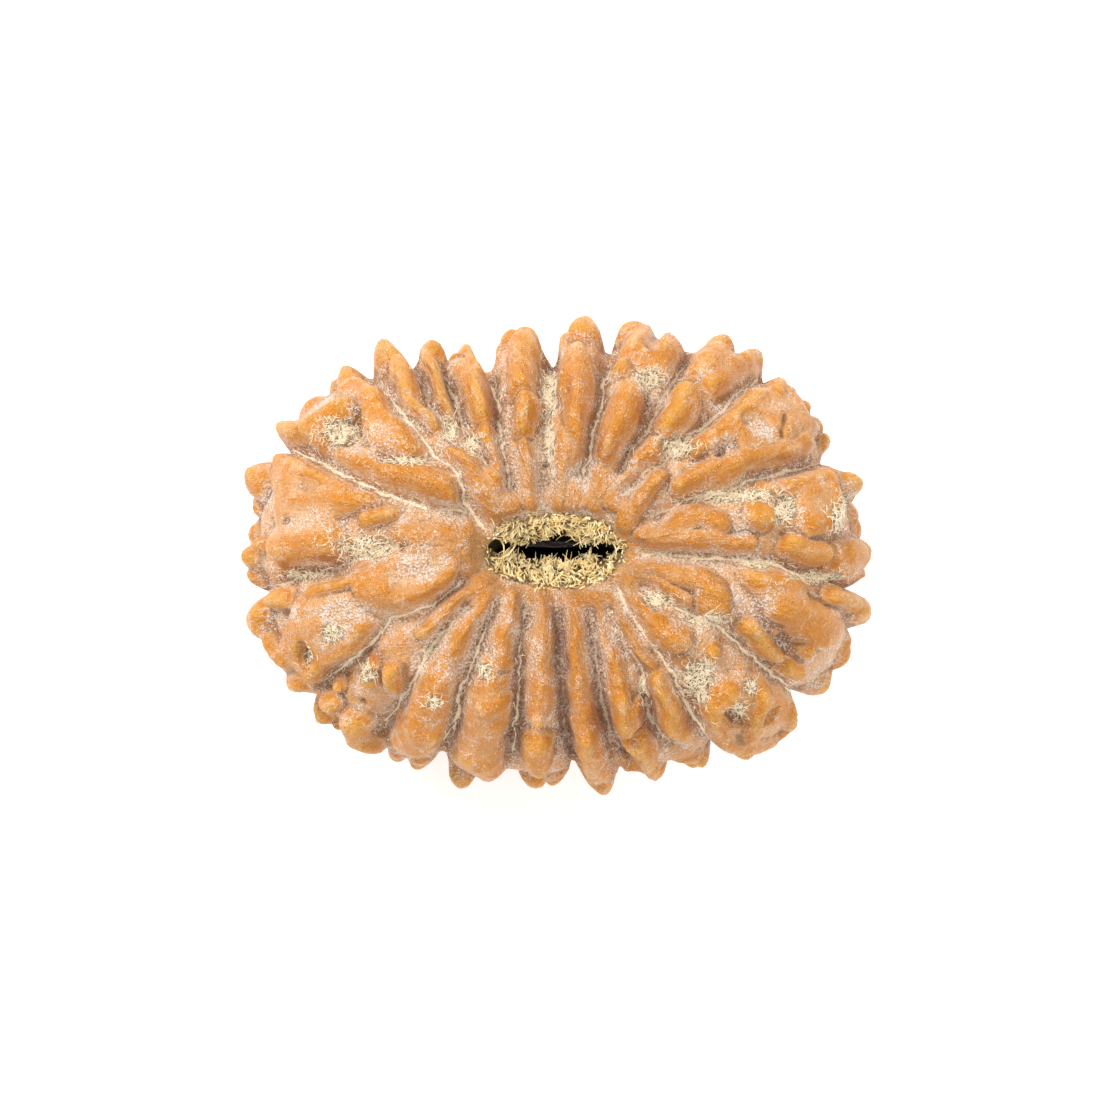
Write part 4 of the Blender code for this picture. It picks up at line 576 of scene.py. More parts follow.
@dataclass(frozen=True)
class SeedShape:
    """The seed's body before its relief: a ring turned round the thread channel and pressed oval."""

    half_length: float = 15.3 * MM
    half_breadth: float = 11.1 * MM
    half_height: float = 9.7 * MM
    outline_power: float = 2.45
    profile_power: float = 2.3
    outline_pulls: tuple[tuple[float, float, float], ...] = ((45, 14, 0.35 * MM), (113, 13, -0.7 * MM), (210, 14, -0.45 * MM), (345, 10, 0.25 * MM))
    pole_dip: float = 1.1 * MM
    pole_dip_reach: float = 0.2
    saddle_depth: float = 1.1 * MM
    saddle_half_length: float = 3.6 * MM
    saddle_half_breadth: float = 6.5 * MM
    turned_channel: float = 3.0 * MM
    slit: PlanPoint = (2.9 * MM, 0.42 * MM)
    upper_mouth: PlanPoint = (3.4 * MM, 1.45 * MM)
    lower_mouth: PlanPoint = (2.9 * MM, 1.2 * MM)
    mouth_depth: float = 2.6 * MM
    mouth_rounding: float = 0.45 * MM
    channel_bends: tuple[float, float, float] = (-0.7 * MM, 0.95 * MM, 0.0 * MM)
    crest_lift: float = 0.5 * MM
    line_steps: int = 150

    @cached_property
    def curve(self) -> tuple[Points, Points]:
        """Traces the outer side of the ring's section closely, from the upper mouth to the lower."""
        reach = np.linspace(0.0, math.pi / 2, 400)
        outward = np.sin(reach) ** (2 / self.profile_power)
        rise = self.half_height * np.cos(reach) ** (2 / self.profile_power)
        rise -= self.pole_dip * np.exp(-((outward / self.pole_dip_reach) ** 2))
        start = self.turned_channel + self.mouth_rounding
        radius = start + (self.half_length - start) * outward
        return np.concatenate([radius, radius[-2::-1]]), np.concatenate([rise, -rise[-2::-1]])

    def profile(self, shares: Points) -> tuple[Points, Points]:
        """Samples the ring's outer side.

        Args:
            shares: How far along it, from 0 at the upper mouth to 1 at the lower.

        Returns:
            The radius and the height of each sample.
        """
        radius, height = self.curve
        along = np.concatenate([[0.0], np.cumsum(np.hypot(np.diff(radius), np.diff(height)))])
        places = np.asarray(shares) * along[-1]
        return np.interp(places, along, radius), np.interp(places, along, height)

    @cached_property
    def steps(self) -> Points:
        """The shares at which lines on the seed are worked out."""
        return np.linspace(0.0, 1.0, self.line_steps + 1)

    @cached_property
    def mouth_level(self) -> float:
        """The height at which the channel's wall meets the rounding of its mouth."""
        return float(self.curve[1][0]) - self.mouth_rounding

    def outline_radius(self, azimuth: Points | float) -> Points | float:
        """Gives the body's outline seen from above, pulled in or out where the seed grew so."""
        reach = oval_radius(azimuth, (self.half_length, self.half_breadth), self.outline_power)
        for place, width, pull in self.outline_pulls:
            away = (np.degrees(azimuth) - place + 180) % 360 - 180
            reach = reach + pull * np.exp(-((away / width) ** 2))
        return reach

    def channel_radius(self, azimuth: Points, height: Points) -> Points:
        """Gives the thread channel's radius: a slit inside, widening to the mouth at each end."""
        depth = np.clip((self.mouth_level + self.mouth_rounding - np.abs(height)) / self.mouth_depth, 0.0, 1.0)
        opening = (1 - depth) ** 2 * (1 + 2 * depth)
        slit = oval_radius(azimuth, self.slit)
        upper = oval_radius(azimuth, self.upper_mouth)
        lower = oval_radius(azimuth, self.lower_mouth)
        return slit + opening * (np.where(height > 0, upper, lower) - slit)

    def pressed(self, points: Points) -> Points:
        """Moves turned points to where they lie on the oval body with its saddle at each pole."""
        radius = np.hypot(points[:, 0], points[:, 1])
        azimuth = np.arctan2(points[:, 1], points[:, 0])
        height = points[:, 2]
        outward = (radius - self.turned_channel) / (self.half_length - self.turned_channel)
        inner = self.channel_radius(azimuth, height)
        reach = inner + outward * (self.outline_radius(azimuth) - inner)
        x = reach * np.cos(azimuth)
        y = reach * np.sin(azimuth)
        level = np.clip(height / self.mouth_level, -1.0, 1.0)
        y += np.interp(level, (-1.0, 0.0, 1.0), self.channel_bends) * np.clip(1 - outward, 0.0, 1.0) ** 3
        saddle = self.saddle_depth * np.exp(
            -((x / self.saddle_half_length) ** 2) - (y / self.saddle_half_breadth) ** 2
        )
        return np.column_stack([x, y, height * (1 - saddle / self.half_height)])


@dataclass
class SeedLines:
    """The lines on the seed that its lobes, grooves and pits follow."""

    shape: SeedShape
    radius: Points = field(init=False)
    height: Points = field(init=False)

    def __post_init__(self) -> None:
        """Samples the body's profile once."""
        self.radius, self.height = self.shape.profile(self.shape.steps)
        self.level = self.shape.mouth_level

    def on_body(self, share: float, azimuth: float) -> Points:
        """Gives the point of the body at this share and azimuth."""
        radius = np.interp(share, self.shape.steps, self.radius)
        height = np.interp(share, self.shape.steps, self.height)
        turned = np.array([[radius * math.cos(azimuth), radius * math.sin(azimuth), height]])
        return self.shape.pressed(turned)[0]

    def crest_point(self, share: float, azimuth: float) -> Points:
        """Gives the point just above the body at this share and azimuth."""
        small = 0.002
        down = self.on_body(share + small, azimuth) - self.on_body(share - small, azimuth)
        round_it = self.on_body(share, azimuth + small) - self.on_body(share, azimuth - small)
        outwards = np.cross(down, round_it)
        return self.on_body(share, azimuth) + self.shape.crest_lift * outwards / np.linalg.norm(outwards)

    def share_at_plan(self, x: float, y: float) -> tuple[float, float]:
        """Finds where a point seen from above lies.

        Args:
            x: Its place along the seed, in metres.
            y: Its place across the seed, in metres.

        Returns:
            Its share of the way from the upper mouth, and its azimuth.
        """
        shape = self.shape
        azimuth = math.atan2(y, x)
        inner = float(shape.channel_radius(azimuth, self.level + shape.mouth_rounding))
        outer = float(shape.outline_radius(azimuth)) + shape.crest_lift
        outward = min(max((math.hypot(x, y) - inner) / (outer - inner), 0.0), 1.0)
        radius = shape.turned_channel + outward * (shape.half_length - shape.turned_channel)
        half = shape.line_steps // 2
        share = np.interp(radius, self.radius[: half + 1], np.linspace(0.0, 0.5, half + 1))
        return float(share), azimuth

    def share_at_height(self, height: float) -> float:
        """Finds how far from the upper mouth the body's side lies at this height."""
        side = slice(self.shape.line_steps // 6, -self.shape.line_steps // 6)
        return float(np.interp(-height, -self.height[side], self.shape.steps[side]))

    def upper(self, plan_points: Iterable[PlanPoint]) -> Points:
        """Lays a line on the upper side through points given in plan, in millimetres."""
        return np.array([self.crest_point(*self.share_at_plan(x * MM, y * MM)) for x, y in plan_points])


@dataclass
class Relief:
    """The lobes, grooves and pits that are raised from the body's surface and cut into it."""

    lines: SeedLines
    lobe_flank: float = 0.8
    lobe_foot: float = 0.28
    lobe_spread: float = 1.32
    lobe_blend: float = 5.0
    plateau_edge: float = 0.9 * MM
    plateau_foot: float = 0.5
    groove_depth: float = 0.32 * MM
    groove_width: float = 0.42 * MM
    groove_cut: float = 0.7
    face_swell: float = 0.55 * MM
    face_swell_width: float = 0.95 * MM
    notch_start: float = 0.34
    notch_end: float = 0.62
    mouth_fade: float = 1.9 * MM
    least_rim_lobe: float = 0.5 * MM
    wander: float = 0.22 * MM
    wander_size: float = 1.6 * MM
    seed: int = 21
    column_pitch: float = 2.05 * MM
    lower_start: float = 0.585
    lower_end: float = 0.955
    lobe_lengths: PlanPoint = (1.2 * MM, 3.0 * MM)
    lobe_gaps: PlanPoint = (0.9 * MM, 1.5 * MM)
    rim_height: float = 1.22 * MM
    lower_mouth_height: float = 0.5 * MM
    start_draw: float = 0.045
    sideways_draw: float = 0.14
    width_draw: PlanPoint = (0.85, 1.1)
    height_draw: PlanPoint = (0.75, 1.1)
    column_fill: float = 0.46
    mouth_narrowing: float = 0.55
    groove_start: float = 0.46
    groove_end: float = 0.99
    groove_sway: float = 0.05
    closing_start: float = 0.75
    closing: float = 0.75
    groove_shade_width: float = 0.42 * MM
    thread_slack: float = 0.14 * MM
    wrinkle: float = 0.085 * MM
    wrinkle_size: float = 0.75 * MM
    strand_rise: float = 0.10 * MM
    strand_width: float = 0.55 * MM
    strand_length: float = 3.5 * MM
    strand_round: float = 8.0 * MM

    def rounded(self, inwards: Points) -> Points:
        """Gives a lobe's share of its full height: 0 at its edge, 1 from its middle on, with a soft foot."""
        inwards = np.clip(inwards, 0.0, 1.0)
        foot = np.clip(inwards / self.lobe_foot, 0.0, 1.0)
        return (1 - (1 - inwards) ** 2) ** self.lobe_flank * foot * foot * (3 - 2 * foot)

    def hand_placed_lobes(self) -> list[tuple[float, float, Points]]:
        """Lists the lobes of the upper side and of the rim: half width, height and line."""
        lobes = [(w * MM, h * MM, self.lines.upper(points)) for w, h, *points in UPPER_LOBES]
        for half_width, (x, y), top, bottom in RIM_LOBES:
            azimuth = math.atan2(y, x)
            shares = [self.lines.share_at_height(level * MM) for level in (top, bottom)]
            line = np.array([self.lines.crest_point(share, azimuth) for share in shares])
            floor = np.hypot(line[:, 0], line[:, 1]).max() - self.lines.shape.crest_lift + self.face_swell / 2
            lobes.append((half_width * MM, max(math.hypot(x, y) * MM - floor, self.least_rim_lobe), line))
        return lobes

    def rim_azimuths(self) -> list[float]:
        """Finds where each groove crosses the rim, counter-clockwise from the first."""
        ends = [math.atan2(line[-1][1], line[-1][0]) for line in UPPER_GROOVES]
        return [ends[0]] + [azimuth % math.tau if azimuth < ends[0] else azimuth for azimuth in ends[1:]]

    def lower_azimuth(self, rim_azimuth: float, share: float) -> float:
        """Turns a groove towards the narrow lower mouth as it goes down from the rim."""
        shape = self.lines.shape
        turn = math.atan2(math.sin(rim_azimuth) / shape.half_breadth, math.cos(rim_azimuth) / shape.half_length)
        mouth = math.atan2(shape.lower_mouth[1] * math.sin(turn), shape.lower_mouth[0] * math.cos(turn))
        away = (mouth - rim_azimuth + math.pi) % math.tau - math.pi
        closing = max(0.0, (share - self.closing_start) / (1 - self.closing_start)) ** 2
        return rim_azimuth + self.closing * closing * away

    def lower_grooves(self, draw: random.Random) -> list[Points]:
        """Carries the grooves on from the rim down to the lower mouth, each with a little wander."""
        lines = []
        for azimuth in self.rim_azimuths():
            sway = draw.uniform(-self.groove_sway, self.groove_sway)
            shares = np.linspace(self.groove_start, self.groove_end, 8)
            turns = [azimuth + sway * math.sin(math.tau * (share - self.groove_start)) for share in shares]
            places = zip(shares, turns)
            lines.append(np.array([self.lines.crest_point(s, self.lower_azimuth(a, s)) for s, a in places]))
        return lines

    def lower_lobes(self, draw: random.Random) -> list[tuple[float, float, Points]]:
        """Lists the columns of lobes from below the rim to the lower mouth."""
        lobes = []
        shape = self.lines.shape
        edges = self.rim_azimuths()
        run = float(np.hypot(np.diff(self.lines.radius), np.diff(self.lines.height)).sum())
        for start, end in zip(edges, edges[1:] + [edges[0] + math.tau]):
            middle = (start + end) / 2
            across = (end - start) * float(oval_radius(middle, (shape.half_length, shape.half_breadth)))
            columns = max(1, round(across / self.column_pitch))
            for column in range(columns):
                place = (column + 0.5) / columns
                share = self.lower_start - draw.uniform(0.0, self.start_draw)
                while share < self.lower_end:
                    length = draw.uniform(*self.lobe_lengths) / run
                    last = min(share + length, self.lower_end)
                    inwards = (share - 0.5) / 0.5
                    half_width = self.column_fill * across / columns
                    half_width *= 1 - self.mouth_narrowing * inwards**2
                    half_width *= draw.uniform(*self.width_draw)
                    height = self.rim_height + (self.lower_mouth_height - self.rim_height) * inwards
                    height *= draw.uniform(*self.height_draw)
                    shift = draw.uniform(-self.sideways_draw, self.sideways_draw) / columns
                    at = start + (place + shift) * (end - start)
                    shares = np.linspace(share, last, 3)
                    line = [self.lines.crest_point(s, self.lower_azimuth(at, s)) for s in shares]
                    lobes.append((half_width, height, np.array(line)))
                    share = last + draw.uniform(*self.lobe_gaps) / run
        return lobes

    def hollows(self) -> list[tuple[float, float, Points]]:
        """Lists the pits and the notches of the rim: half width, depth and line, in millimetres."""
        hollows = [(radius, depth, self.lines.upper(points)) for radius, depth, *points in UPPER_PITS]
        for radius, depth, azimuth in RIM_NOTCHES:
            shares = np.linspace(self.notch_start, self.notch_end, 8)
            line = np.array([self.lines.crest_point(share, math.radians(azimuth)) for share in shares])
            hollows.append((radius, depth, line))
        return hollows

    def threads(self, points: Points, normals: Points) -> dict[str, Points]:
        """Measures each point against the threads in the upper grooves.

        Args:
            points: The points, one to a row.
            normals: The body's normal at each point.

        Returns:
            The distance to the nearest thread, the same with a sign that tells its sides apart, how clearly the
            thread shows and how much painted shade darkens its groove, by name.
        """
        near = np.full(len(points), np.inf)
        side = np.zeros(len(points))
        strength = np.zeros(len(points))
        groove_shade = np.zeros(len(points))
        for plan_points, (shown, darkness) in zip(UPPER_GROOVES, THREADS):
            line = self.lines.upper(plan_points)
            for first, second in zip(line, line[1:]):
                run = second - first
                along = np.clip((points - first) @ run / max(float(run @ run), 1e-12), 0.0, 1.0)
                away = points - first - along[:, None] * run
                apart = np.linalg.norm(away, axis=1)
                closer = apart < near
                turn = np.einsum("ij,ij->i", np.cross(run, away[closer]), normals[closer])
                near[closer] = apart[closer]
                side[closer] = np.sign(turn) * apart[closer]
                strength[closer] = shown
                groove_shade[closer] = darkness
        groove_shade *= np.exp(-((near / self.groove_shade_width) ** 2))
        return {"seam": side, "seam_near": near, "strength": strength, "groove_shade": groove_shade}

    def strands(self, points: Points) -> Points:
        """Gives the fine striping that runs outwards from the mouth, from -1 to 1."""
        azimuth = np.arctan2(points[:, 1], points[:, 0])
        along = np.hypot(points[:, 0], points[:, 1]) / self.strand_length
        across = self.strand_round / self.strand_width
        lines = np.column_stack([across * np.cos(azimuth), across * np.sin(azimuth), along])
        return noise_at(lines, 1.0, 2)

    def measure(self, points: Points, normals: Points, outward: Points) -> dict[str, Points]:
        """Works out the relief at points just above the body.

        Args:
            points: The points, one to a row.
            normals: The body's normal at each point.
            outward: How far each point is from the channel's wall before the body was pressed.

        Returns:
            The rise in metres under "rise", and by name what the finish reads beside it.
        """
        draw = random.Random(self.seed)
        plain = points
        points = wandered(points, self.wander, self.wander_size)
        raised = np.zeros(len(points))
        polish = np.zeros(len(points))
        for narrow_width, height, line in self.hand_placed_lobes() + self.lower_lobes(draw):
            half_width = narrow_width * self.lobe_spread
            near = np.all((points > line.min(0) - half_width) & (points < line.max(0) + half_width), axis=1)
            apart = distance_to_line(points[near], line) / half_width
            raised[near] += (height * self.rounded(1 - apart)) ** self.lobe_blend
            polish[near] = np.maximum(polish[near], np.clip(1 - apart**2, 0.0, 1.0))
        for height, *outline in UPPER_PLATEAUS:
            inside = depth_in_outline(points[:, :2], np.array(outline) * MM)
            dome = self.rounded((inside / self.plateau_edge + self.plateau_foot) * (points[:, 2] > 0))
            raised += (height * MM * dome) ** self.lobe_blend
            polish = np.maximum(polish, 0.45 * dome)
        raised = raised ** (1 / self.lobe_blend)
        groove = np.full(len(points), np.inf)
        for line in [self.lines.upper(plan_points) for plan_points in UPPER_GROOVES] + self.lower_grooves(draw):
            groove = np.minimum(groove, distance_to_line(points, line))
        cut = np.exp(-((groove / self.groove_width) ** 2))
        swell = self.face_swell * (1 - np.exp(-((groove / self.face_swell_width) ** 2)))
        rise = raised * (1 - self.groove_cut * cut) + swell - self.groove_depth * cut
        for radius, depth, line in self.hollows():
            apart = distance_to_line(points, line) / (radius * MM)
            rise -= depth * MM * np.clip(1 - apart**2, 0.0, 1.0)
        threads = self.threads(wandered(plain, self.thread_slack, 0.7 * MM), normals)
        threads["seam_near"] = np.minimum(threads["seam_near"], groove + self.wander)
        wrinkled = noise_at(plain, self.wrinkle_size)
        rise += self.wrinkle * wrinkled * np.clip(1.3 - cut, 0.0, 1.0)
        strands = self.strands(plain)
        rise += self.strand_rise * strands * np.clip(1.4 - outward / (9 * MM), 0.15, 1.0)
        fade = np.clip(outward / self.mouth_fade, 0.0, 1.0)
        rise *= fade * fade * (3 - 2 * fade)
        return {
            "rise": rise,
            "polish": polish * (1 - cut),
            **threads,
            "strand": strands,
            "funnel": np.exp(-((outward / self.mouth_fade) ** 2)) * (outward > 0),
        }


@dataclass
class NutShell:
    """The nut itself, made finely: a ring spun round the channel, pressed oval and raised in relief."""

    shape: SeedShape = field(default_factory=SeedShape)
    steps: int = 440
    upper_rows: int = 118
    lower_rows: int = 66
    channel_rows: int = 22
    rounding_rows: int = 4
    worn_off: float = 0.35 * MM

    def section(self) -> list[PlanPoint]:
        """Lists the closed section's radius and height, round from the upper mouth."""
        shape = self.shape
        shares = np.concatenate([
            np.linspace(0.0, 0.5, self.upper_rows, endpoint=False), np.linspace(0.5, 1.0, self.lower_rows)
        ])
        radius, height = shape.profile(shares)
        corner = np.linspace(0.0, math.pi / 2, self.rounding_rows + 2)[1:-1]
        rounding = shape.turned_channel + shape.mouth_rounding * (1 - np.cos(corner))
        drop = shape.mouth_level + shape.mouth_rounding * np.sin(corner)
        inner = np.linspace(-shape.mouth_level, shape.mouth_level, self.channel_rows)
        section = list(zip(radius, height))
        section += list(zip(rounding[::-1], -drop[::-1]))
        section += [(shape.turned_channel, level) for level in inner]
        return section + list(zip(rounding, drop))

    def spun(self) -> bmesh.types.BMesh:
        """Spins the section into a closed ring."""
        mesh = bmesh.new()
        section = self.section()
        corners = [mesh.verts.new((radius, 0.0, height)) for radius, height in section]
        for first, second in zip(corners, corners[1:] + corners[:1]):
            mesh.edges.new((first, second))
        bmesh.ops.spin(
            mesh, geom=mesh.verts[:] + mesh.edges[:], cent=(0, 0, 0), axis=(0, 0, 1), dvec=(0, 0, 0),
            angle=math.tau, steps=self.steps, use_merge=True, use_normal_flip=False, use_duplicate=False,
        )
        bmesh.ops.recalc_face_normals(mesh, faces=mesh.faces[:])
        return mesh

    def build(self) -> tuple[bpy.types.Object, dict[str, Points]]:
        """Builds the nut.

        Returns:
            The nut's object, standing where the solid stands, and how far it was moved, under "shift".
        """
        mesh = self.spun()
        turned = np.array([vertex.co for vertex in mesh.verts])
        smooth = self.shape.pressed(turned)
        for vertex, place in zip(mesh.verts, smooth):
            vertex.co = place
        mesh.normal_update()
        normals = np.array([vertex.normal for vertex in mesh.verts])
        outward = np.hypot(turned[:, 0], turned[:, 1]) - self.shape.turned_channel
        relief = Relief(SeedLines(self.shape))
        facts = relief.measure(smooth + self.shape.crest_lift * normals, normals, outward)
        places = smooth + facts["rise"][:, None] * normals
        low, high = (np.array(corner) for corner in CAD_BOX)
        shift = (low + high) / 2 - (places.min(0) + places.max(0)) / 2
        shift[2] = -places[:, 2].min() - self.worn_off
        places += shift
        places[:, 2] = np.maximum(places[:, 2], 0.0)
        for vertex, place in zip(mesh.verts, places):
            vertex.co = place
        facts["hollow"] = self.hollowness(mesh, facts["rise"], 26)
        facts["crease"] = self.hollowness(mesh, facts["rise"], 4)
        facts["deep"] = np.maximum(self.depth_in_channel(turned), self.slit_shade(places, turned))
        facts["frost"] = self.zoned(places, FROST_ZONES)
        # Painted reddish-brown shade on the listed flanks that face away from the light.
        facts["flank_shade"] = self.zoned(places, FLANK_SHADE_ZONES)
        facts["debris"] = self.zoned(places, [(x, y, a, b, 1.0) for x, y, a, b, _ in DEBRIS_ZONES])
        data = bpy.data.meshes.new("nut_shell_fine")
        mesh.to_mesh(data)
        mesh.free()
        data.shade_smooth()
        for name in FACTS:
            scale = 1 / MM if name in LENGTHS else 1.0
            attribute = data.attributes.new(name, "FLOAT", "POINT")
            attribute.data.foreach_set("value", (facts[name] * scale).astype(np.float32))
        shell = bpy.data.objects.new("nut_shell_fine", data)
        bpy.context.scene.collection.objects.link(shell)
        return shell, {"shift": shift}

    @staticmethod
    def hollowness(mesh: bmesh.types.BMesh, rise: Points, rounds: int) -> Points:
        """Finds how far each vertex lies below the relief around it, over more or fewer rounds of evening out."""
        first = np.array([edge.verts[0].index for edge in mesh.edges])
        second = np.array([edge.verts[1].index for edge in mesh.edges])
        count = np.bincount(first, minlength=len(rise)) + np.bincount(second, minlength=len(rise))
        around = rise.copy()
        for _ in range(rounds):
            total = np.bincount(first, around[second], len(rise)) + np.bincount(second, around[first], len(rise))
            around = total / count
        return around - rise

    def depth_in_channel(self, turned: Points) -> Points:
        """Tells how deep in the thread channel each vertex lies: 0 outside, 1 well inside."""
        inside = np.clip(1 - (np.hypot(turned[:, 0], turned[:, 1]) - self.shape.turned_channel) / (0.6 * MM), 0, 1)
        sunk = np.clip((self.shape.mouth_level - np.abs(turned[:, 2])) / self.shape.mouth_depth, 0, 1)
        return np.clip(0.35 * inside + 0.65 * inside * (sunk > 0) * (0.3 + 0.7 * sunk), 0, 1)

    def slit_shade(self, places: Points, turned: Points) -> Points:
        """Tells which vertices of the upper mouth's wall get the slit's painted black shade: 1 in it, 0 outside."""
        along, middle, half = (np.array(column) for column in zip(*MOUTH_SLIT))
        away = np.abs(places[:, 1] / MM - np.interp(places[:, 0] / MM, along, middle))
        inside = np.clip(2.5 - 1.5 * away / np.interp(places[:, 0] / MM, along, half), 0, 1)
        wall = np.hypot(turned[:, 0], turned[:, 1]) < self.shape.turned_channel + 0.1 * MM
        return inside * wall * (turned[:, 2] > 0)

    @staticmethod
    def zoned(places: Points, zones: Iterable[tuple[float, float, float, float, float]]) -> Points:
        """Sums soft zones given in plan, in millimetres, for the upper side only."""
        total = np.zeros(len(places))
        middle = places[:, 2].max() / 2
        for x, y, across, up, strength in zones:
            away = ((places[:, 0] / MM - x) / across) ** 2 + ((places[:, 1] / MM - y) / up) ** 2
            total = np.maximum(total, strength * np.exp(-away))
        return np.where(places[:, 2] > middle * 0.8, total, 0.0)


@dataclass(frozen=True)
class FibreKind:
    """One kind of dry fibre: how long and thick, how it bends, and how it grows."""

    name: str
    growth: FibreGrowth
    lengths: tuple[float, float]
    radius: float
    bend: float
    seed: int
    sides: int = 3
    rings: int = 4

    def copies(self, count: int) -> bmesh.types.BMesh:
        """Makes one unit fibre and doubles it until there are enough.

        Args:
            count: How many fibres are needed.

        Returns:
            A mesh of at least so many equal fibres that lie in each other.
        """
        mesh = bmesh.new()
        bmesh.ops.create_cone(
            mesh, cap_ends=True, segments=self.sides, radius1=1.0, radius2=0.35, depth=1.0,
            matrix=Matrix.Translation((0, 0, 0.5)),
        )
        sides = [edge for edge in mesh.edges if abs(edge.verts[0].co.z - edge.verts[1].co.z) > 0.5]
        bmesh.ops.subdivide_edges(mesh, edges=sides, cuts=self.rings - 1)
        bmesh.ops.triangulate(mesh, faces=mesh.faces[:])
        made = 1
        while made < count:
            extra = min(made, count - made)
            share = len(mesh.verts) // made * extra, len(mesh.faces) // made * extra
            mesh.verts.ensure_lookup_table()
            mesh.faces.ensure_lookup_table()
            faces = mesh.faces[: share[1]]
            bmesh.ops.duplicate(mesh, geom=mesh.verts[: share[0]] + faces)
            made += extra
        return mesh

    def grow(self, roots: Points, ways: Points, normals: Points) -> bpy.types.Object:
        """Grows a fibre from each root.

        Args:
            roots: Where the fibres start, one to a row.
            ways: The direction that each one sets out in.
            normals: The direction that each one bends towards or away from.

        Returns:
            One object with all the fibres in its mesh.
        """
        draw = np.random.default_rng(self.seed)
        mesh = self.copies(len(roots))
        data = bpy.data.meshes.new(self.name)
        mesh.to_mesh(data)
        mesh.free()
        flat = np.empty(len(data.vertices) * 3)
        data.vertices.foreach_get("co", flat)
        unit = flat.reshape(len(roots), -1, 3)
        ways = ways / np.linalg.norm(ways, axis=1)[:, None]
        across = np.cross(ways, normals + 0.01)
        across /= np.linalg.norm(across, axis=1)[:, None]
        third = np.cross(ways, across)
        length = draw.uniform(*self.lengths, len(roots))[:, None]
        radius = self.radius * draw.uniform(0.6, 1.4, len(roots))[:, None, None]
        along = unit[:, :, 2]
        angle = draw.uniform(0, math.tau, len(roots))[:, None]
        curl = self.bend * draw.uniform(-1, 1, (2, len(roots)))[:, :, None] * length
        sway = np.sin(along * math.pi * draw.uniform(0.6, 1.6, len(roots))[:, None] + angle) - np.sin(angle)
        spine = roots[:, None] + ways[:, None] * (along * length)[:, :, None]
        spine += across[:, None] * (curl[0] * along**2 + 0.12 * length * sway)[:, :, None]
        spine += third[:, None] * (curl[1] * along**2)[:, :, None]
        wall = unit[:, :, :1] * across[:, None] + unit[:, :, 1:2] * third[:, None]
        places = spine + radius * wall
        data.vertices.foreach_set("co", places.ravel())
        data.update()
        for name, values in (("along", along), ("straw", draw.uniform(0, 1, len(roots))[:, None] + 0 * along)):
            attribute = data.attributes.new(name, "FLOAT", "POINT")
            attribute.data.foreach_set("value", values.ravel().astype(np.float32))
        data.shade_smooth()
        piece = bpy.data.objects.new(self.name, data)
        bpy.context.scene.collection.objects.link(piece)
        return piece


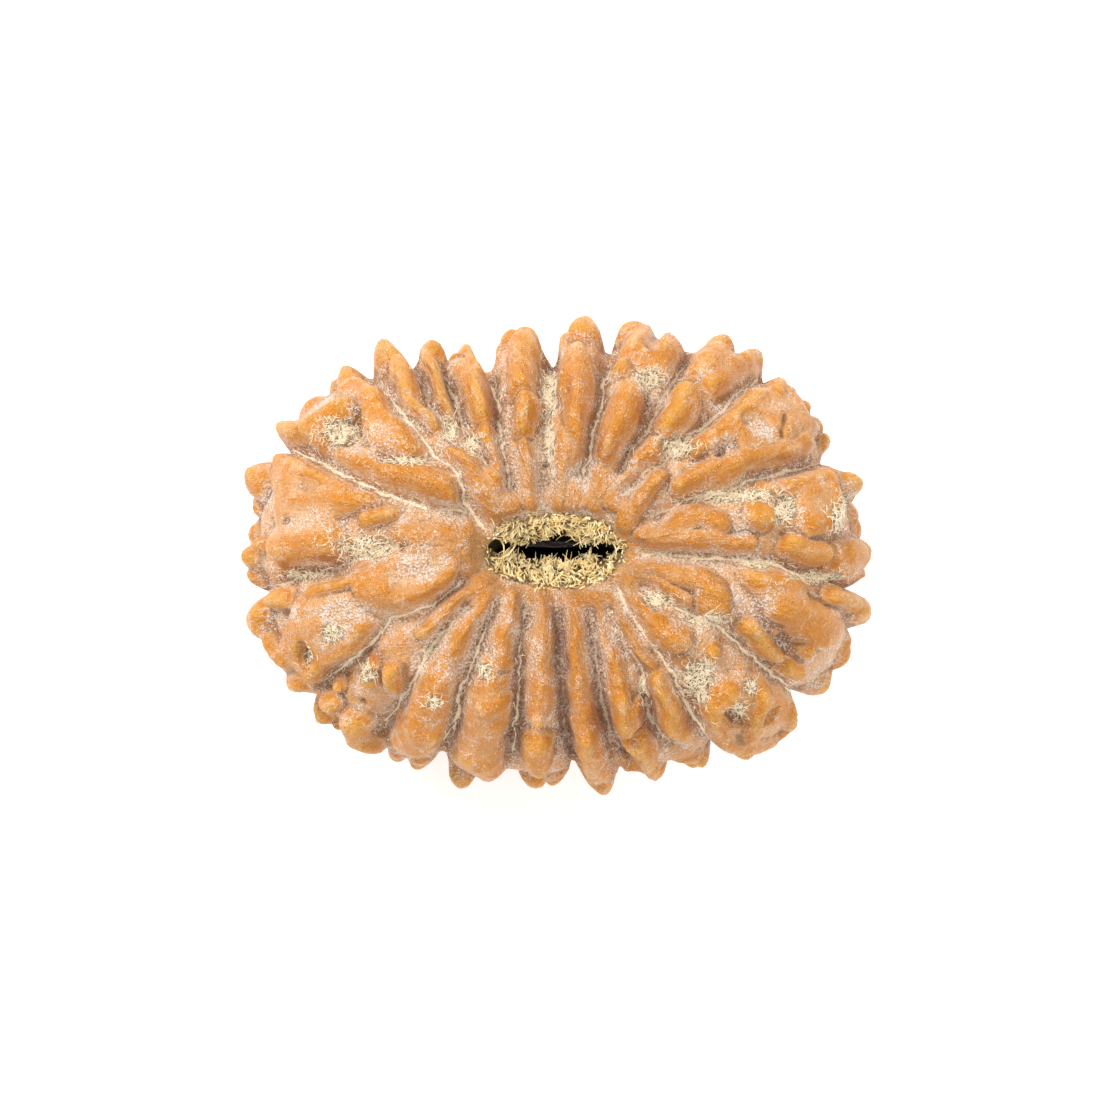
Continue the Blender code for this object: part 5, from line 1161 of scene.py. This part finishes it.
@dataclass
class MouthFibres:
    """The yellow fibres that line the channel's mouth above and below the black slit."""

    shell: bpy.types.Object
    half_axes: PlanPoint = (3.5, 1.85)
    middle: PlanPoint = (0.0, 0.12)
    reach: float = 1.08
    slit_ends: float = 0.9
    deepest: float = 3.0 * MM
    crumb_count: int = 1000
    straw_count: int = 460
    clump_size: float = 0.55
    crumb: FibreKind = FibreKind(
        name="mouth_crumbs", growth=FibreGrowth.TUFT, lengths=(0.18 * MM, 0.5 * MM), radius=0.072 * MM,
        bend=0.35, seed=5, sides=4, rings=2,
    )
    straw: FibreKind = FibreKind(
        name="mouth_straws", growth=FibreGrowth.TUFT, lengths=(0.45 * MM, 0.95 * MM), radius=0.047 * MM,
        bend=0.3, seed=6,
    )
    crossing: FibreKind = FibreKind(
        name="crossing_straws", growth=FibreGrowth.TUFT, lengths=(0.8 * MM, 1.0 * MM), radius=0.055 * MM,
        bend=0.08, seed=7,
    )

    def slit(self, x: float) -> PlanPoint:
        """Gives the middle and the half height of the black slit at this place along it, in millimetres."""
        along, middle, half = zip(*MOUTH_SLIT)
        return float(np.interp(x, along, middle)), float(np.interp(x, along, half))

    def rooted(self, count: int, kind: FibreKind, tree: BVHTree, top: float) -> bpy.types.Object:
        """Roots fibres where their places in plan meet the mouth's wall, clear of the slit.

        Args:
            count: How many places are tried.
            kind: The kind of fibre.
            tree: The nut's surface.
            top: The level of the mouth's rim.

        Returns:
            The fibres, as one object.
        """
        draw = random.Random(kind.seed)
        roots, ways, normals = [], [], []
        while len(roots) < count:
            x, y = draw.uniform(-1, 1) * self.reach, draw.uniform(-1, 1) * self.reach
            if math.hypot(x, y) > self.reach or math.hypot(x, y) > 1 and draw.random() > 0.4:
                continue
            x, y = self.middle[0] + x * self.half_axes[0], self.middle[1] + y * self.half_axes[1]
            level, half = self.slit(x)
            clear = abs(y - level) - half
            if clear < 0.03 or abs(x) > self.slit_ends * self.half_axes[0] and draw.random() < 0.6:
                continue
            spot, normal, _, _ = tree.ray_cast(Vector((x * MM, y * MM, 0.05)), Vector((0, 0, -1)))
            clump = Vector((x, y, 0.0)) / self.clump_size
            if spot is None or spot.z < top - self.deepest or noise.noise(clump * 0.8) < draw.gauss(-0.32, 0.12):
                continue
            inwards = math.copysign(1.0, level - y)
            lean = min(0.4 + 1.5 * noise.noise(clump) + draw.gauss(0, 0.3), clear * MM / kind.lengths[1] * 1.6)
            aside = 2.2 * noise.noise(clump + Vector((0, 0, 7.0))) + draw.gauss(0, 0.3)
            ways.append(Vector((aside, inwards * lean, draw.uniform(0.3, 1.0))).normalized())
            roots.append(spot)
            normals.append(normal)
        return kind.grow(np.array(roots), np.array(ways), np.array(normals))

    def build(self) -> list[bpy.types.Object]:
        """Grows the crumbs and the straws, and the few straws that cross the slit at its left end."""
        mesh = bmesh.new()
        mesh.from_mesh(self.shell.data)
        tree = BVHTree.FromBMesh(mesh)
        mesh.free()
        rim, _, _, _ = tree.ray_cast(Vector((0.0, 2.4 * MM, 0.05)), Vector((0, 0, -1)))
        roots = np.array([(x * MM, y * MM, rim.z - sunk * MM) for (x, y), _, sunk in CROSSING_STRAWS])
        ways = np.array([(math.cos(turn), math.sin(turn), 0.12) for _, turn, _ in CROSSING_STRAWS])
        return [
            self.rooted(self.crumb_count, self.crumb, tree, rim.z),
            self.rooted(self.straw_count, self.straw, tree, rim.z),
            self.crossing.grow(roots, ways, np.tile((0.0, 0.0, 1.0), (len(roots), 1))),
        ]


@dataclass
class LooseFibres:
    """The cream fibres that lie in the grooves and in the debris between the lobes."""

    shell: bpy.types.Object
    per_groove: int = 36
    crowding: float = 2.6
    kind: FibreKind = FibreKind(
        name="groove_fibres", growth=FibreGrowth.LYING, lengths=(0.12 * MM, 0.46 * MM), radius=0.024 * MM,
        bend=0.5, seed=9, rings=2,
    )

    def plan_places(self) -> tuple[list[PlanPoint], list[float | None]]:
        """Draws where the fibres start, in millimetres, and the heading of those that follow a groove."""
        draw = random.Random(self.kind.seed)
        places: list[PlanPoint] = []
        headings: list[float | None] = []
        for x, y, across, up, count in DEBRIS_ZONES:
            for _ in range(round(self.crowding * count)):
                places.append((x + draw.gauss(0, 0.62) * across, y + draw.gauss(0, 0.62) * up))
                headings.append(None)
        for index, line in enumerate(UPPER_GROOVES):
            for _ in range(round(self.per_groove * THREADS[index][0])):
                part = draw.randrange(len(line) - 1)
                (x0, y0), (x1, y1) = line[part], line[part + 1]
                along = draw.random()
                spot = x0 + along * (x1 - x0), y0 + along * (y1 - y0)
                places.append((spot[0] + draw.gauss(0, 0.16), spot[1] + draw.gauss(0, 0.16)))
                headings.append(math.atan2(y1 - y0, x1 - x0) + draw.gauss(0, 0.7))
        return places, headings

    def build(self) -> bpy.types.Object:
        """Lays each fibre on the nut where its place in plan meets the surface."""
        draw = random.Random(self.kind.seed + 1)
        mesh = bmesh.new()
        mesh.from_mesh(self.shell.data)
        tree = BVHTree.FromBMesh(mesh)
        mesh.free()
        roots, ways, normals = [], [], []
        for (x, y), heading in zip(*self.plan_places()):
            spot, normal, _, _ = tree.ray_cast(Vector((x * MM, y * MM, 0.05)), Vector((0, 0, -1)))
            if spot is None or normal.z < 0.05:
                continue
            turn = heading if heading is not None else draw.uniform(0, math.tau)
            way = Vector((math.cos(turn), math.sin(turn), 0.0))
            way = (way - normal * way.dot(normal)).normalized() + normal * draw.uniform(0.0, 0.45)
            roots.append(spot + normal * 0.01 * MM)
            ways.append(way)
            normals.append(normal)
        return self.kind.grow(np.array(roots), np.array(ways), np.array(normals))


class Field:
    """A shader socket that takes part in Python arithmetic."""

    def __init__(self, kit: "MaterialKit", socket: bpy.types.NodeSocket) -> None:
        self.kit = kit
        self.socket = socket

    def __add__(self, other: Any) -> "Field":
        """Adds."""
        return self.kit.math("ADD", self, other)

    __radd__ = __add__

    def __mul__(self, other: Any) -> "Field":
        """Multiplies."""
        return self.kit.math("MULTIPLY", self, other)

    __rmul__ = __mul__

    def __sub__(self, other: Any) -> "Field":
        """Subtracts."""
        return self.kit.math("SUBTRACT", self, other)

    def __rsub__(self, other: Any) -> "Field":
        """Is subtracted from a number."""
        return self.kit.math("SUBTRACT", other, self)

    def __abs__(self) -> "Field":
        """Drops the sign."""
        return self.kit.math("ABSOLUTE", self, 0.0)

    def clamped(self) -> "Field":
        """Keeps it from 0 to 1."""
        return self.kit.math("MINIMUM", self.kit.math("MAXIMUM", self, 0.0), 1.0)

    def step(self, low: float, high: float) -> "Field":
        """Rises smoothly from 0 at low to 1 at high."""
        settings = {"interpolation_type": "SMOOTHSTEP"}
        inputs = {"Value": self, "From Min": low, "From Max": high}
        return Field(self.kit, self.kit.node("ShaderNodeMapRange", settings, inputs).outputs["Result"])


class MaterialKit:
    """Builds one material's nodes."""

    def __init__(self, name: str) -> None:
        """Starts a material with its Principled shader."""
        self.material = bpy.data.materials.new(name)
        self.material.use_nodes = True
        self.tree = self.material.node_tree
        self.shader = self.tree.nodes["Principled BSDF"]
        coordinates = self.node("ShaderNodeTexCoord", {}, {}).outputs["Object"]
        scaled = self.node("ShaderNodeVectorMath", {"operation": "SCALE"}, {0: coordinates, "Scale": 1 / MM})
        self.place = Field(self, scaled.outputs[0])

    def node(self, kind: str, settings: dict[str, Any], inputs: dict[Any, Any]) -> bpy.types.Node:
        """Adds a node.

        Args:
            kind: The node's type.
            settings: Its properties, set first.
            inputs: A value or a link for each of its sockets, by name or number.

        Returns:
            The node.
        """
        node = self.tree.nodes.new(kind)
        for name, value in settings.items():
            setattr(node, name, value)
        for name, value in inputs.items():
            self.feed(node.inputs[name], value)
        return node

    def feed(self, socket: bpy.types.NodeSocket, value: Any) -> None:
        """Links a field or a socket to a socket, or sets its value."""
        if isinstance(value, Field):
            value = value.socket
        if isinstance(value, bpy.types.NodeSocket):
            self.tree.links.new(value, socket)
        else:
            socket.default_value = value

    def math(self, operation: str, first: Any, second: Any) -> Field:
        """Adds one Math node."""
        node = self.node("ShaderNodeMath", {"operation": operation}, {0: first, 1: second})
        return Field(self, node.outputs[0])

    def attribute(self, name: str) -> Field:
        """Reads one of the piece's own attributes."""
        return Field(self, self.node("ShaderNodeAttribute", {"attribute_name": name}, {}).outputs["Fac"])

    def noise(self, per_mm: float, detail: float = 2.0, roughness: float = 0.5, stretch: Any = None) -> Field:
        """Adds noise.

        Args:
            per_mm: How many lumps to a millimetre.
            detail: How many finer layers.
            roughness: How strong they are.
            stretch: The vector to read, where it isn't the place itself.

        Returns:
            The noise, from 0 to 1.
        """
        inputs = {"Vector": stretch or self.place, "Scale": per_mm, "Detail": detail, "Roughness": roughness}
        return Field(self, self.node("ShaderNodeTexNoise", {}, inputs).outputs["Fac"])

    def cells(self, per_mm: float) -> Field:
        """Gives how far the nearest of so many grains to a millimetre is, in grain spacings."""
        inputs = {"Vector": self.place, "Scale": per_mm}
        return Field(self, self.node("ShaderNodeTexVoronoi", {"feature": "F1"}, inputs).outputs["Distance"])

    def rays(self, across: float, along: float) -> bpy.types.NodeSocket:
        """Gives a vector that makes noise run in streaks outwards from the thread channel.

        Args:
            across: How many streaks to a radian.
            along: How long they are, in millimetres.

        Returns:
            The vector.
        """
        plan = self.node("ShaderNodeVectorMath", {"operation": "MULTIPLY"}, {0: self.place, 1: (1.0, 1.0, 0.0)})
        heading = self.node("ShaderNodeVectorMath", {"operation": "NORMALIZE"}, {0: plan.outputs[0]})
        wide = self.node("ShaderNodeVectorMath", {"operation": "SCALE"}, {0: heading.outputs[0], "Scale": across})
        far = self.node("ShaderNodeVectorMath", {"operation": "LENGTH"}, {0: self.place})
        level = self.math("MULTIPLY", far.outputs["Value"], 1 / along)
        up = self.node("ShaderNodeCombineXYZ", {}, {"Z": level})
        return self.node("ShaderNodeVectorMath", {"operation": "ADD"}, {0: wide.outputs[0], 1: up.outputs[0]}).outputs[0]

    def mix(self, share: Any, first: Any, second: Any) -> Field:
        """Mixes two colours, by a share from 0 to 1."""
        node = self.node("ShaderNodeMix", {"data_type": "RGBA"}, {0: share, 6: first, 7: second})
        return Field(self, node.outputs[2])

    def bump(self, height: Field, strength: float, distance: float) -> None:
        """Feeds a bump of this height to the shader's normal."""
        inputs = {"Height": height, "Strength": strength, "Distance": distance}
        self.feed(self.shader.inputs["Normal"], self.node("ShaderNodeBump", {}, inputs).outputs["Normal"])


Colour = tuple[float, float, float, float]


@dataclass(frozen=True)
class NutFinish:
    """The nut's colours: polished orange lobes with painted highlights on their crests, frosted pink between them,
    painted shade in the valleys, creases, grooves and channel, and a painted glow on its pale marks.
    """

    bright: Colour = (0.73, 0.255, 0.016, 1.0)
    polished_crest_highlight: Colour = (0.84, 0.40, 0.065, 1.0)
    tan: Colour = (0.78, 0.395, 0.150, 1.0)
    dusty: Colour = (0.88, 0.60, 0.39, 1.0)
    worn: Colour = (0.55, 0.32, 0.145, 1.0)
    shaded_flank: Colour = (0.48, 0.14, 0.025, 1.0)
    frost: Colour = (0.92, 0.60, 0.38, 1.0)
    speck: Colour = (0.97, 0.86, 0.77, 1.0)
    dark_grain_and_crease_shade: Colour = (0.34, 0.145, 0.055, 1.0)
    valley_shade: Colour = (0.60, 0.35, 0.225, 1.0)
    groove_shade: Colour = (0.22, 0.10, 0.076, 1.0)
    thread: Colour = (1.0, 0.81, 0.58, 1.0)
    crumb: Colour = (1.0, 0.85, 0.60, 1.0)
    gap: Colour = (0.27, 0.165, 0.075, 1.0)
    painted_glow_tint: Colour = (1.0, 0.76, 0.50, 1.0)
    mouth: Colour = (0.34, 0.23, 0.06, 1.0)
    channel_shade: Colour = (0.004, 0.003, 0.002, 1.0)
    glow: float = 0.28
    gloss: float = 0.28

    def material(self) -> bpy.types.Material:
        """Builds the material."""
        kit = MaterialKit("nut_shell_finish")
        facts = {name: kit.attribute(name) for name in FACTS}
        patch = kit.noise(1.1, 4.0, 0.65)
        grain = kit.noise(5.0, 4.0, 0.7)
        sugar = kit.noise(7.5, 2.5, 0.7)
        grains, dust = kit.cells(6.5), kit.cells(10.0)
        streak = kit.noise(1.0, 3.0, 0.7, kit.rays(26.0, 1.6))
        hollow = facts["hollow"]
        seam_side = 1 - facts["seam_near"].step(0.15, 0.9)
        convex = (patch - 0.5) * 0.7 + (streak - 0.5) * 0.3 - hollow * 0.9 - facts["crease"] * 2.0
        colour = kit.mix(convex.step(-0.15, 0.38), self.tan, self.bright)
        # Painted highlight: a lighter yellow-orange on the convex crests, where the light catches them, over their
        # polished tone.
        colour = kit.mix((convex + (grain - 0.5) * 0.3).step(0.25, 0.75) * 0.8, colour, self.polished_crest_highlight)
        colour = kit.mix((patch * 0.4 + streak * 0.25 + grain * 0.35).step(0.48, 0.60) * 0.4, colour, self.dusty)
        worn = facts["funnel"] * (streak + (grain - 0.5) * 0.6).step(0.40, 0.60)
        colour = kit.mix(worn * 0.75, colour, self.worn)
        # Painted shade: reddish brown in the hollows and on the listed flanks turned from the light.
        flank_shade = hollow.step(0.02, 0.40) * 0.5 + facts["flank_shade"] + (grain - 0.5) * 0.6 + (streak - 0.5) * 0.4
        colour = kit.mix(flank_shade.step(0.15, 0.75) * 0.8, colour, self.shaded_flank)
        frost = facts["frost"] * 0.8 + (1 - facts["polish"]) * 0.7 + facts["funnel"] * 0.1 + seam_side * 0.12
        frost = (frost + (patch - 0.5) * 1.7 + (grain - 0.5) * 1.0 - facts["flank_shade"] * 0.3).step(0.30, 1.15)
        colour = kit.mix(frost * 0.8, colour, self.frost)
        # Painted shade: a darker mauve in the hollows between the lobes.
        valley_shade = hollow + (streak - 0.5) * 0.8 + (grain - 0.5) * 0.4 - facts["strand"] * 0.15 - seam_side * 0.22
        colour = kit.mix(valley_shade.step(0.20, 0.60) * 0.45, colour, self.valley_shade)
        # Painted shade: near-black brown along the grooves listed as dark, fading away from their threads.
        groove_shade = (facts["groove_shade"] * (1 - facts["funnel"]) + (streak - 0.5) * 0.5).step(0.15, 0.75)
        colour = kit.mix(groove_shade * 0.8, colour, self.groove_shade)
        # Painted shade: dark brown in the small creases at the lobes' feet.
        crease = (facts["crease"] + (grain - 0.5) * 0.05).step(0.03, 0.12)
        colour = kit.mix(crease * 0.55, colour, self.dark_grain_and_crease_shade)
        # Dark grain at random, in the same colour.
        colour = kit.mix((1 - sugar.step(0.37, 0.44)) * (frost * 0.25 + 0.32), colour, self.dark_grain_and_crease_shade)
        speck = (frost * 0.27 + patch * 0.44 - grains).step(0.0, 0.08) + (frost * 0.16 + patch * 0.47 - dust).step(0.0, 0.1) * 0.8
        colour = kit.mix((speck * (1 - groove_shade * 0.8)).clamped() * 0.85, colour, self.speck)
        fuzz = seam_side * facts["strength"] * kit.noise(6.5, 2.0, 0.7).step(0.52, 0.60)
        colour = kit.mix(fuzz * 0.35, colour, self.crumb)
        debris = (facts["debris"] * 1.2 + (patch - 0.5) * 1.3 + (grain - 0.5) * 0.7).step(0.42, 0.72)
        crumbs = kit.noise(4.2, 3.0, 0.8).step(0.45, 0.52)
        colour = kit.mix(debris * 0.9, colour, kit.mix(crumbs, self.gap, self.crumb))
        edge = 1 - (abs(facts["seam"]) + (grain - 0.5) * 0.25).step(0.05, 0.13)
        thread = edge * (1 - facts["seam_near"].step(0.40, 0.6)) * facts["strength"] * patch.step(0.30, 0.42)
        colour = kit.mix(thread * 0.9, colour, self.thread)
        # Painted shade: the channel's wall is darker brown, and black deep inside it and in the slit.
        colour = kit.mix(facts["deep"].step(0.05, 0.4), colour, kit.mix(crumbs, self.gap, self.mouth))
        colour = kit.mix(facts["deep"].step(0.40, 0.85), colour, self.channel_shade)
        kit.feed(kit.shader.inputs["Base Color"], colour)
        # Painted light: the threads, seam fuzz, debris crumbs and frost specks glow, so that they stay bright in the
        # grooves' shade.
        pale = thread + fuzz * 0.15 + debris * crumbs * 0.55 + speck * frost * 0.3
        pale = pale.clamped() * (1 - facts["deep"].step(0.0, 0.2))
        kit.feed(kit.shader.inputs["Emission Color"], kit.mix(pale, (0.0, 0.0, 0.0, 1.0), self.painted_glow_tint))
        kit.shader.inputs["Emission Strength"].default_value = self.glow
        kit.shader.inputs["Specular IOR Level"].default_value = self.gloss
        kit.feed(kit.shader.inputs["Roughness"], 0.36 + frost * 0.3 + (grain - 0.5) * 0.2)
        height = grain * 0.9 + sugar * (frost * 0.5 + 0.45) - grains * (frost * 0.7 + 0.2) + patch * 1.0 + streak * 0.9 + thread * 0.8
        kit.bump(height + debris * crumbs * 1.2, 1.0, 0.22 * MM)
        return kit.material


@dataclass(frozen=True)
class FibreFinish:
    """A fibre's colours, from its shaded root to its tip, with some fibres paler than others, and a painted glow in
    the same colours that keeps them bright in shade.
    """

    name: str
    root: Colour
    straw: Colour
    pale: Colour
    glow: float

    def material(self) -> bpy.types.Material:
        """Builds the material."""
        kit = MaterialKit(self.name)
        along = kit.attribute("along")
        straw = kit.attribute("straw")
        grain = kit.noise(5.0, 2.0)
        colour = kit.mix((straw + (grain - 0.5) * 0.6).clamped(), self.straw, self.pale)
        colour = kit.mix(along.step(-0.1, 0.7), self.root, colour)
        kit.feed(kit.shader.inputs["Base Color"], colour)
        # Painted light: each fibre glows in its own colour, so that it stays bright in shade.
        kit.feed(kit.shader.inputs["Emission Color"], colour)
        kit.shader.inputs["Emission Strength"].default_value = self.glow
        kit.shader.inputs["Specular IOR Level"].default_value = 0.2
        kit.shader.inputs["Roughness"].default_value = 0.7
        return kit.material


@dataclass(frozen=True)
class FloorFinish:
    """The plain pale floor."""

    colour: Colour = (0.93, 0.93, 0.93, 1.0)
    glow: float = 0.45

    def material(self) -> bpy.types.Material:
        """Builds the material."""
        kit = MaterialKit("floor_paper")
        kit.shader.inputs["Base Color"].default_value = self.colour
        kit.shader.inputs["Roughness"].default_value = 0.9
        kit.shader.inputs["Emission Color"].default_value = self.colour
        kit.shader.inputs["Emission Strength"].default_value = self.glow
        return kit.material


def dressed(piece: bpy.types.Object, material: bpy.types.Material) -> bpy.types.Object:
    """Gives a piece its material."""
    piece.data.materials.clear()
    piece.data.materials.append(material)
    return piece


@dataclass
class Studio:
    """The floor, the soft lights and the camera, looking almost straight down the thread channel."""

    centre: Vector
    frame_width: float = 1105 / 18.8 * MM
    centre_x: float = 0.5 - 556 / 1105
    centre_y: float = 555 / 1105 - 0.5
    elevation: float = 89.0
    lens: float = 100.0
    sensor: float = 36.0
    floor_half_size: float = 1.2

    def build(self) -> None:
        """Builds the whole studio."""
        self.floor()
        self.sky()
        self.lamp("key_light", Vector((-0.22, 0.26, 0.36)), 0.20, 2.3)
        self.lamp("fill_light", Vector((0.34, 0.02, 0.36)), 0.40, 0.9)
        self.lamp("front_light", Vector((-0.02, -0.40, 0.34)), 0.40, 0.7)
        self.camera()

    def floor(self) -> None:
        """Lays a wide floor under the seed."""
        mesh = bmesh.new()
        bmesh.ops.create_grid(mesh, x_segments=1, y_segments=1, size=self.floor_half_size)
        data = bpy.data.meshes.new("floor")
        mesh.to_mesh(data)
        mesh.free()
        floor = bpy.data.objects.new("floor", data)
        bpy.context.scene.collection.objects.link(floor)
        dressed(floor, FloorFinish().material())

    def sky(self) -> None:
        """Lights the whole scene softly from all round."""
        world = bpy.data.worlds.new("studio_air")
        world.use_nodes = True
        world.node_tree.nodes["Background"].inputs["Color"].default_value = (1.0, 1.0, 1.0, 1.0)
        world.node_tree.nodes["Background"].inputs["Strength"].default_value = 0.42
        bpy.context.scene.world = world
        bpy.context.scene.view_settings.view_transform = "Standard"

    def lamp(self, name: str, place: Vector, size: float, power: float) -> None:
        """Hangs one soft square light that looks at the seed."""
        light = bpy.data.lights.new(name, "AREA")
        light.size = size
        light.energy = power
        lamp = bpy.data.objects.new(name, light)
        lamp.location = place
        lamp.rotation_euler = (self.centre - place).to_track_quat("-Z", "Y").to_euler()
        bpy.context.scene.collection.objects.link(lamp)

    def camera(self) -> None:
        """Sets the camera at the photograph's angle and framing."""
        tilt = math.radians(self.elevation)
        back = Vector((0.0, -math.cos(tilt), math.sin(tilt)))
        camera = bpy.data.objects.new("camera", bpy.data.cameras.new("camera"))
        camera.data.lens = self.lens
        camera.data.sensor_width = self.sensor
        camera.data.clip_start = 0.01
        camera.data.shift_x = self.centre_x
        camera.data.shift_y = self.centre_y
        camera.location = self.centre + back * (self.frame_width * self.lens / self.sensor)
        camera.rotation_euler = (-back).to_track_quat("-Z", "Y").to_euler()
        bpy.context.scene.collection.objects.link(camera)
        bpy.context.scene.camera = camera


def main() -> None:
    """Builds the pieces in order, dresses them and reports each one."""
    logging.basicConfig(level=logging.INFO, format="%(message)s")
    nut = NutShell()
    shell, facts = nut.build()
    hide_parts(NODE)
    pieces = [dressed(shell, NutFinish().material())]
    golden = FibreFinish(
        name="mouth_fibre_finish", root=(0.19, 0.11, 0.026, 1.0), straw=(0.80, 0.57, 0.21, 1.0),
        pale=(1.0, 0.90, 0.60, 1.0), glow=0.17,
    )
    cream = FibreFinish(
        name="groove_fibre_finish", root=(0.74, 0.58, 0.36, 1.0), straw=(0.94, 0.80, 0.56, 1.0),
        pale=(1.0, 0.95, 0.82, 1.0), glow=0.26,
    )
    finish = golden.material()
    pieces += [dressed(piece, finish) for piece in MouthFibres(shell).build()]
    pieces.append(dressed(LooseFibres(shell).build(), cream.material()))
    for piece in pieces:
        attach(piece, "root")
        LOG.info("%s: %d faces", piece.name, len(piece.data.polygons))
    Studio(Vector((0.0, 0.0, 0.012))).build()


if __name__ == "__main__":
    main()
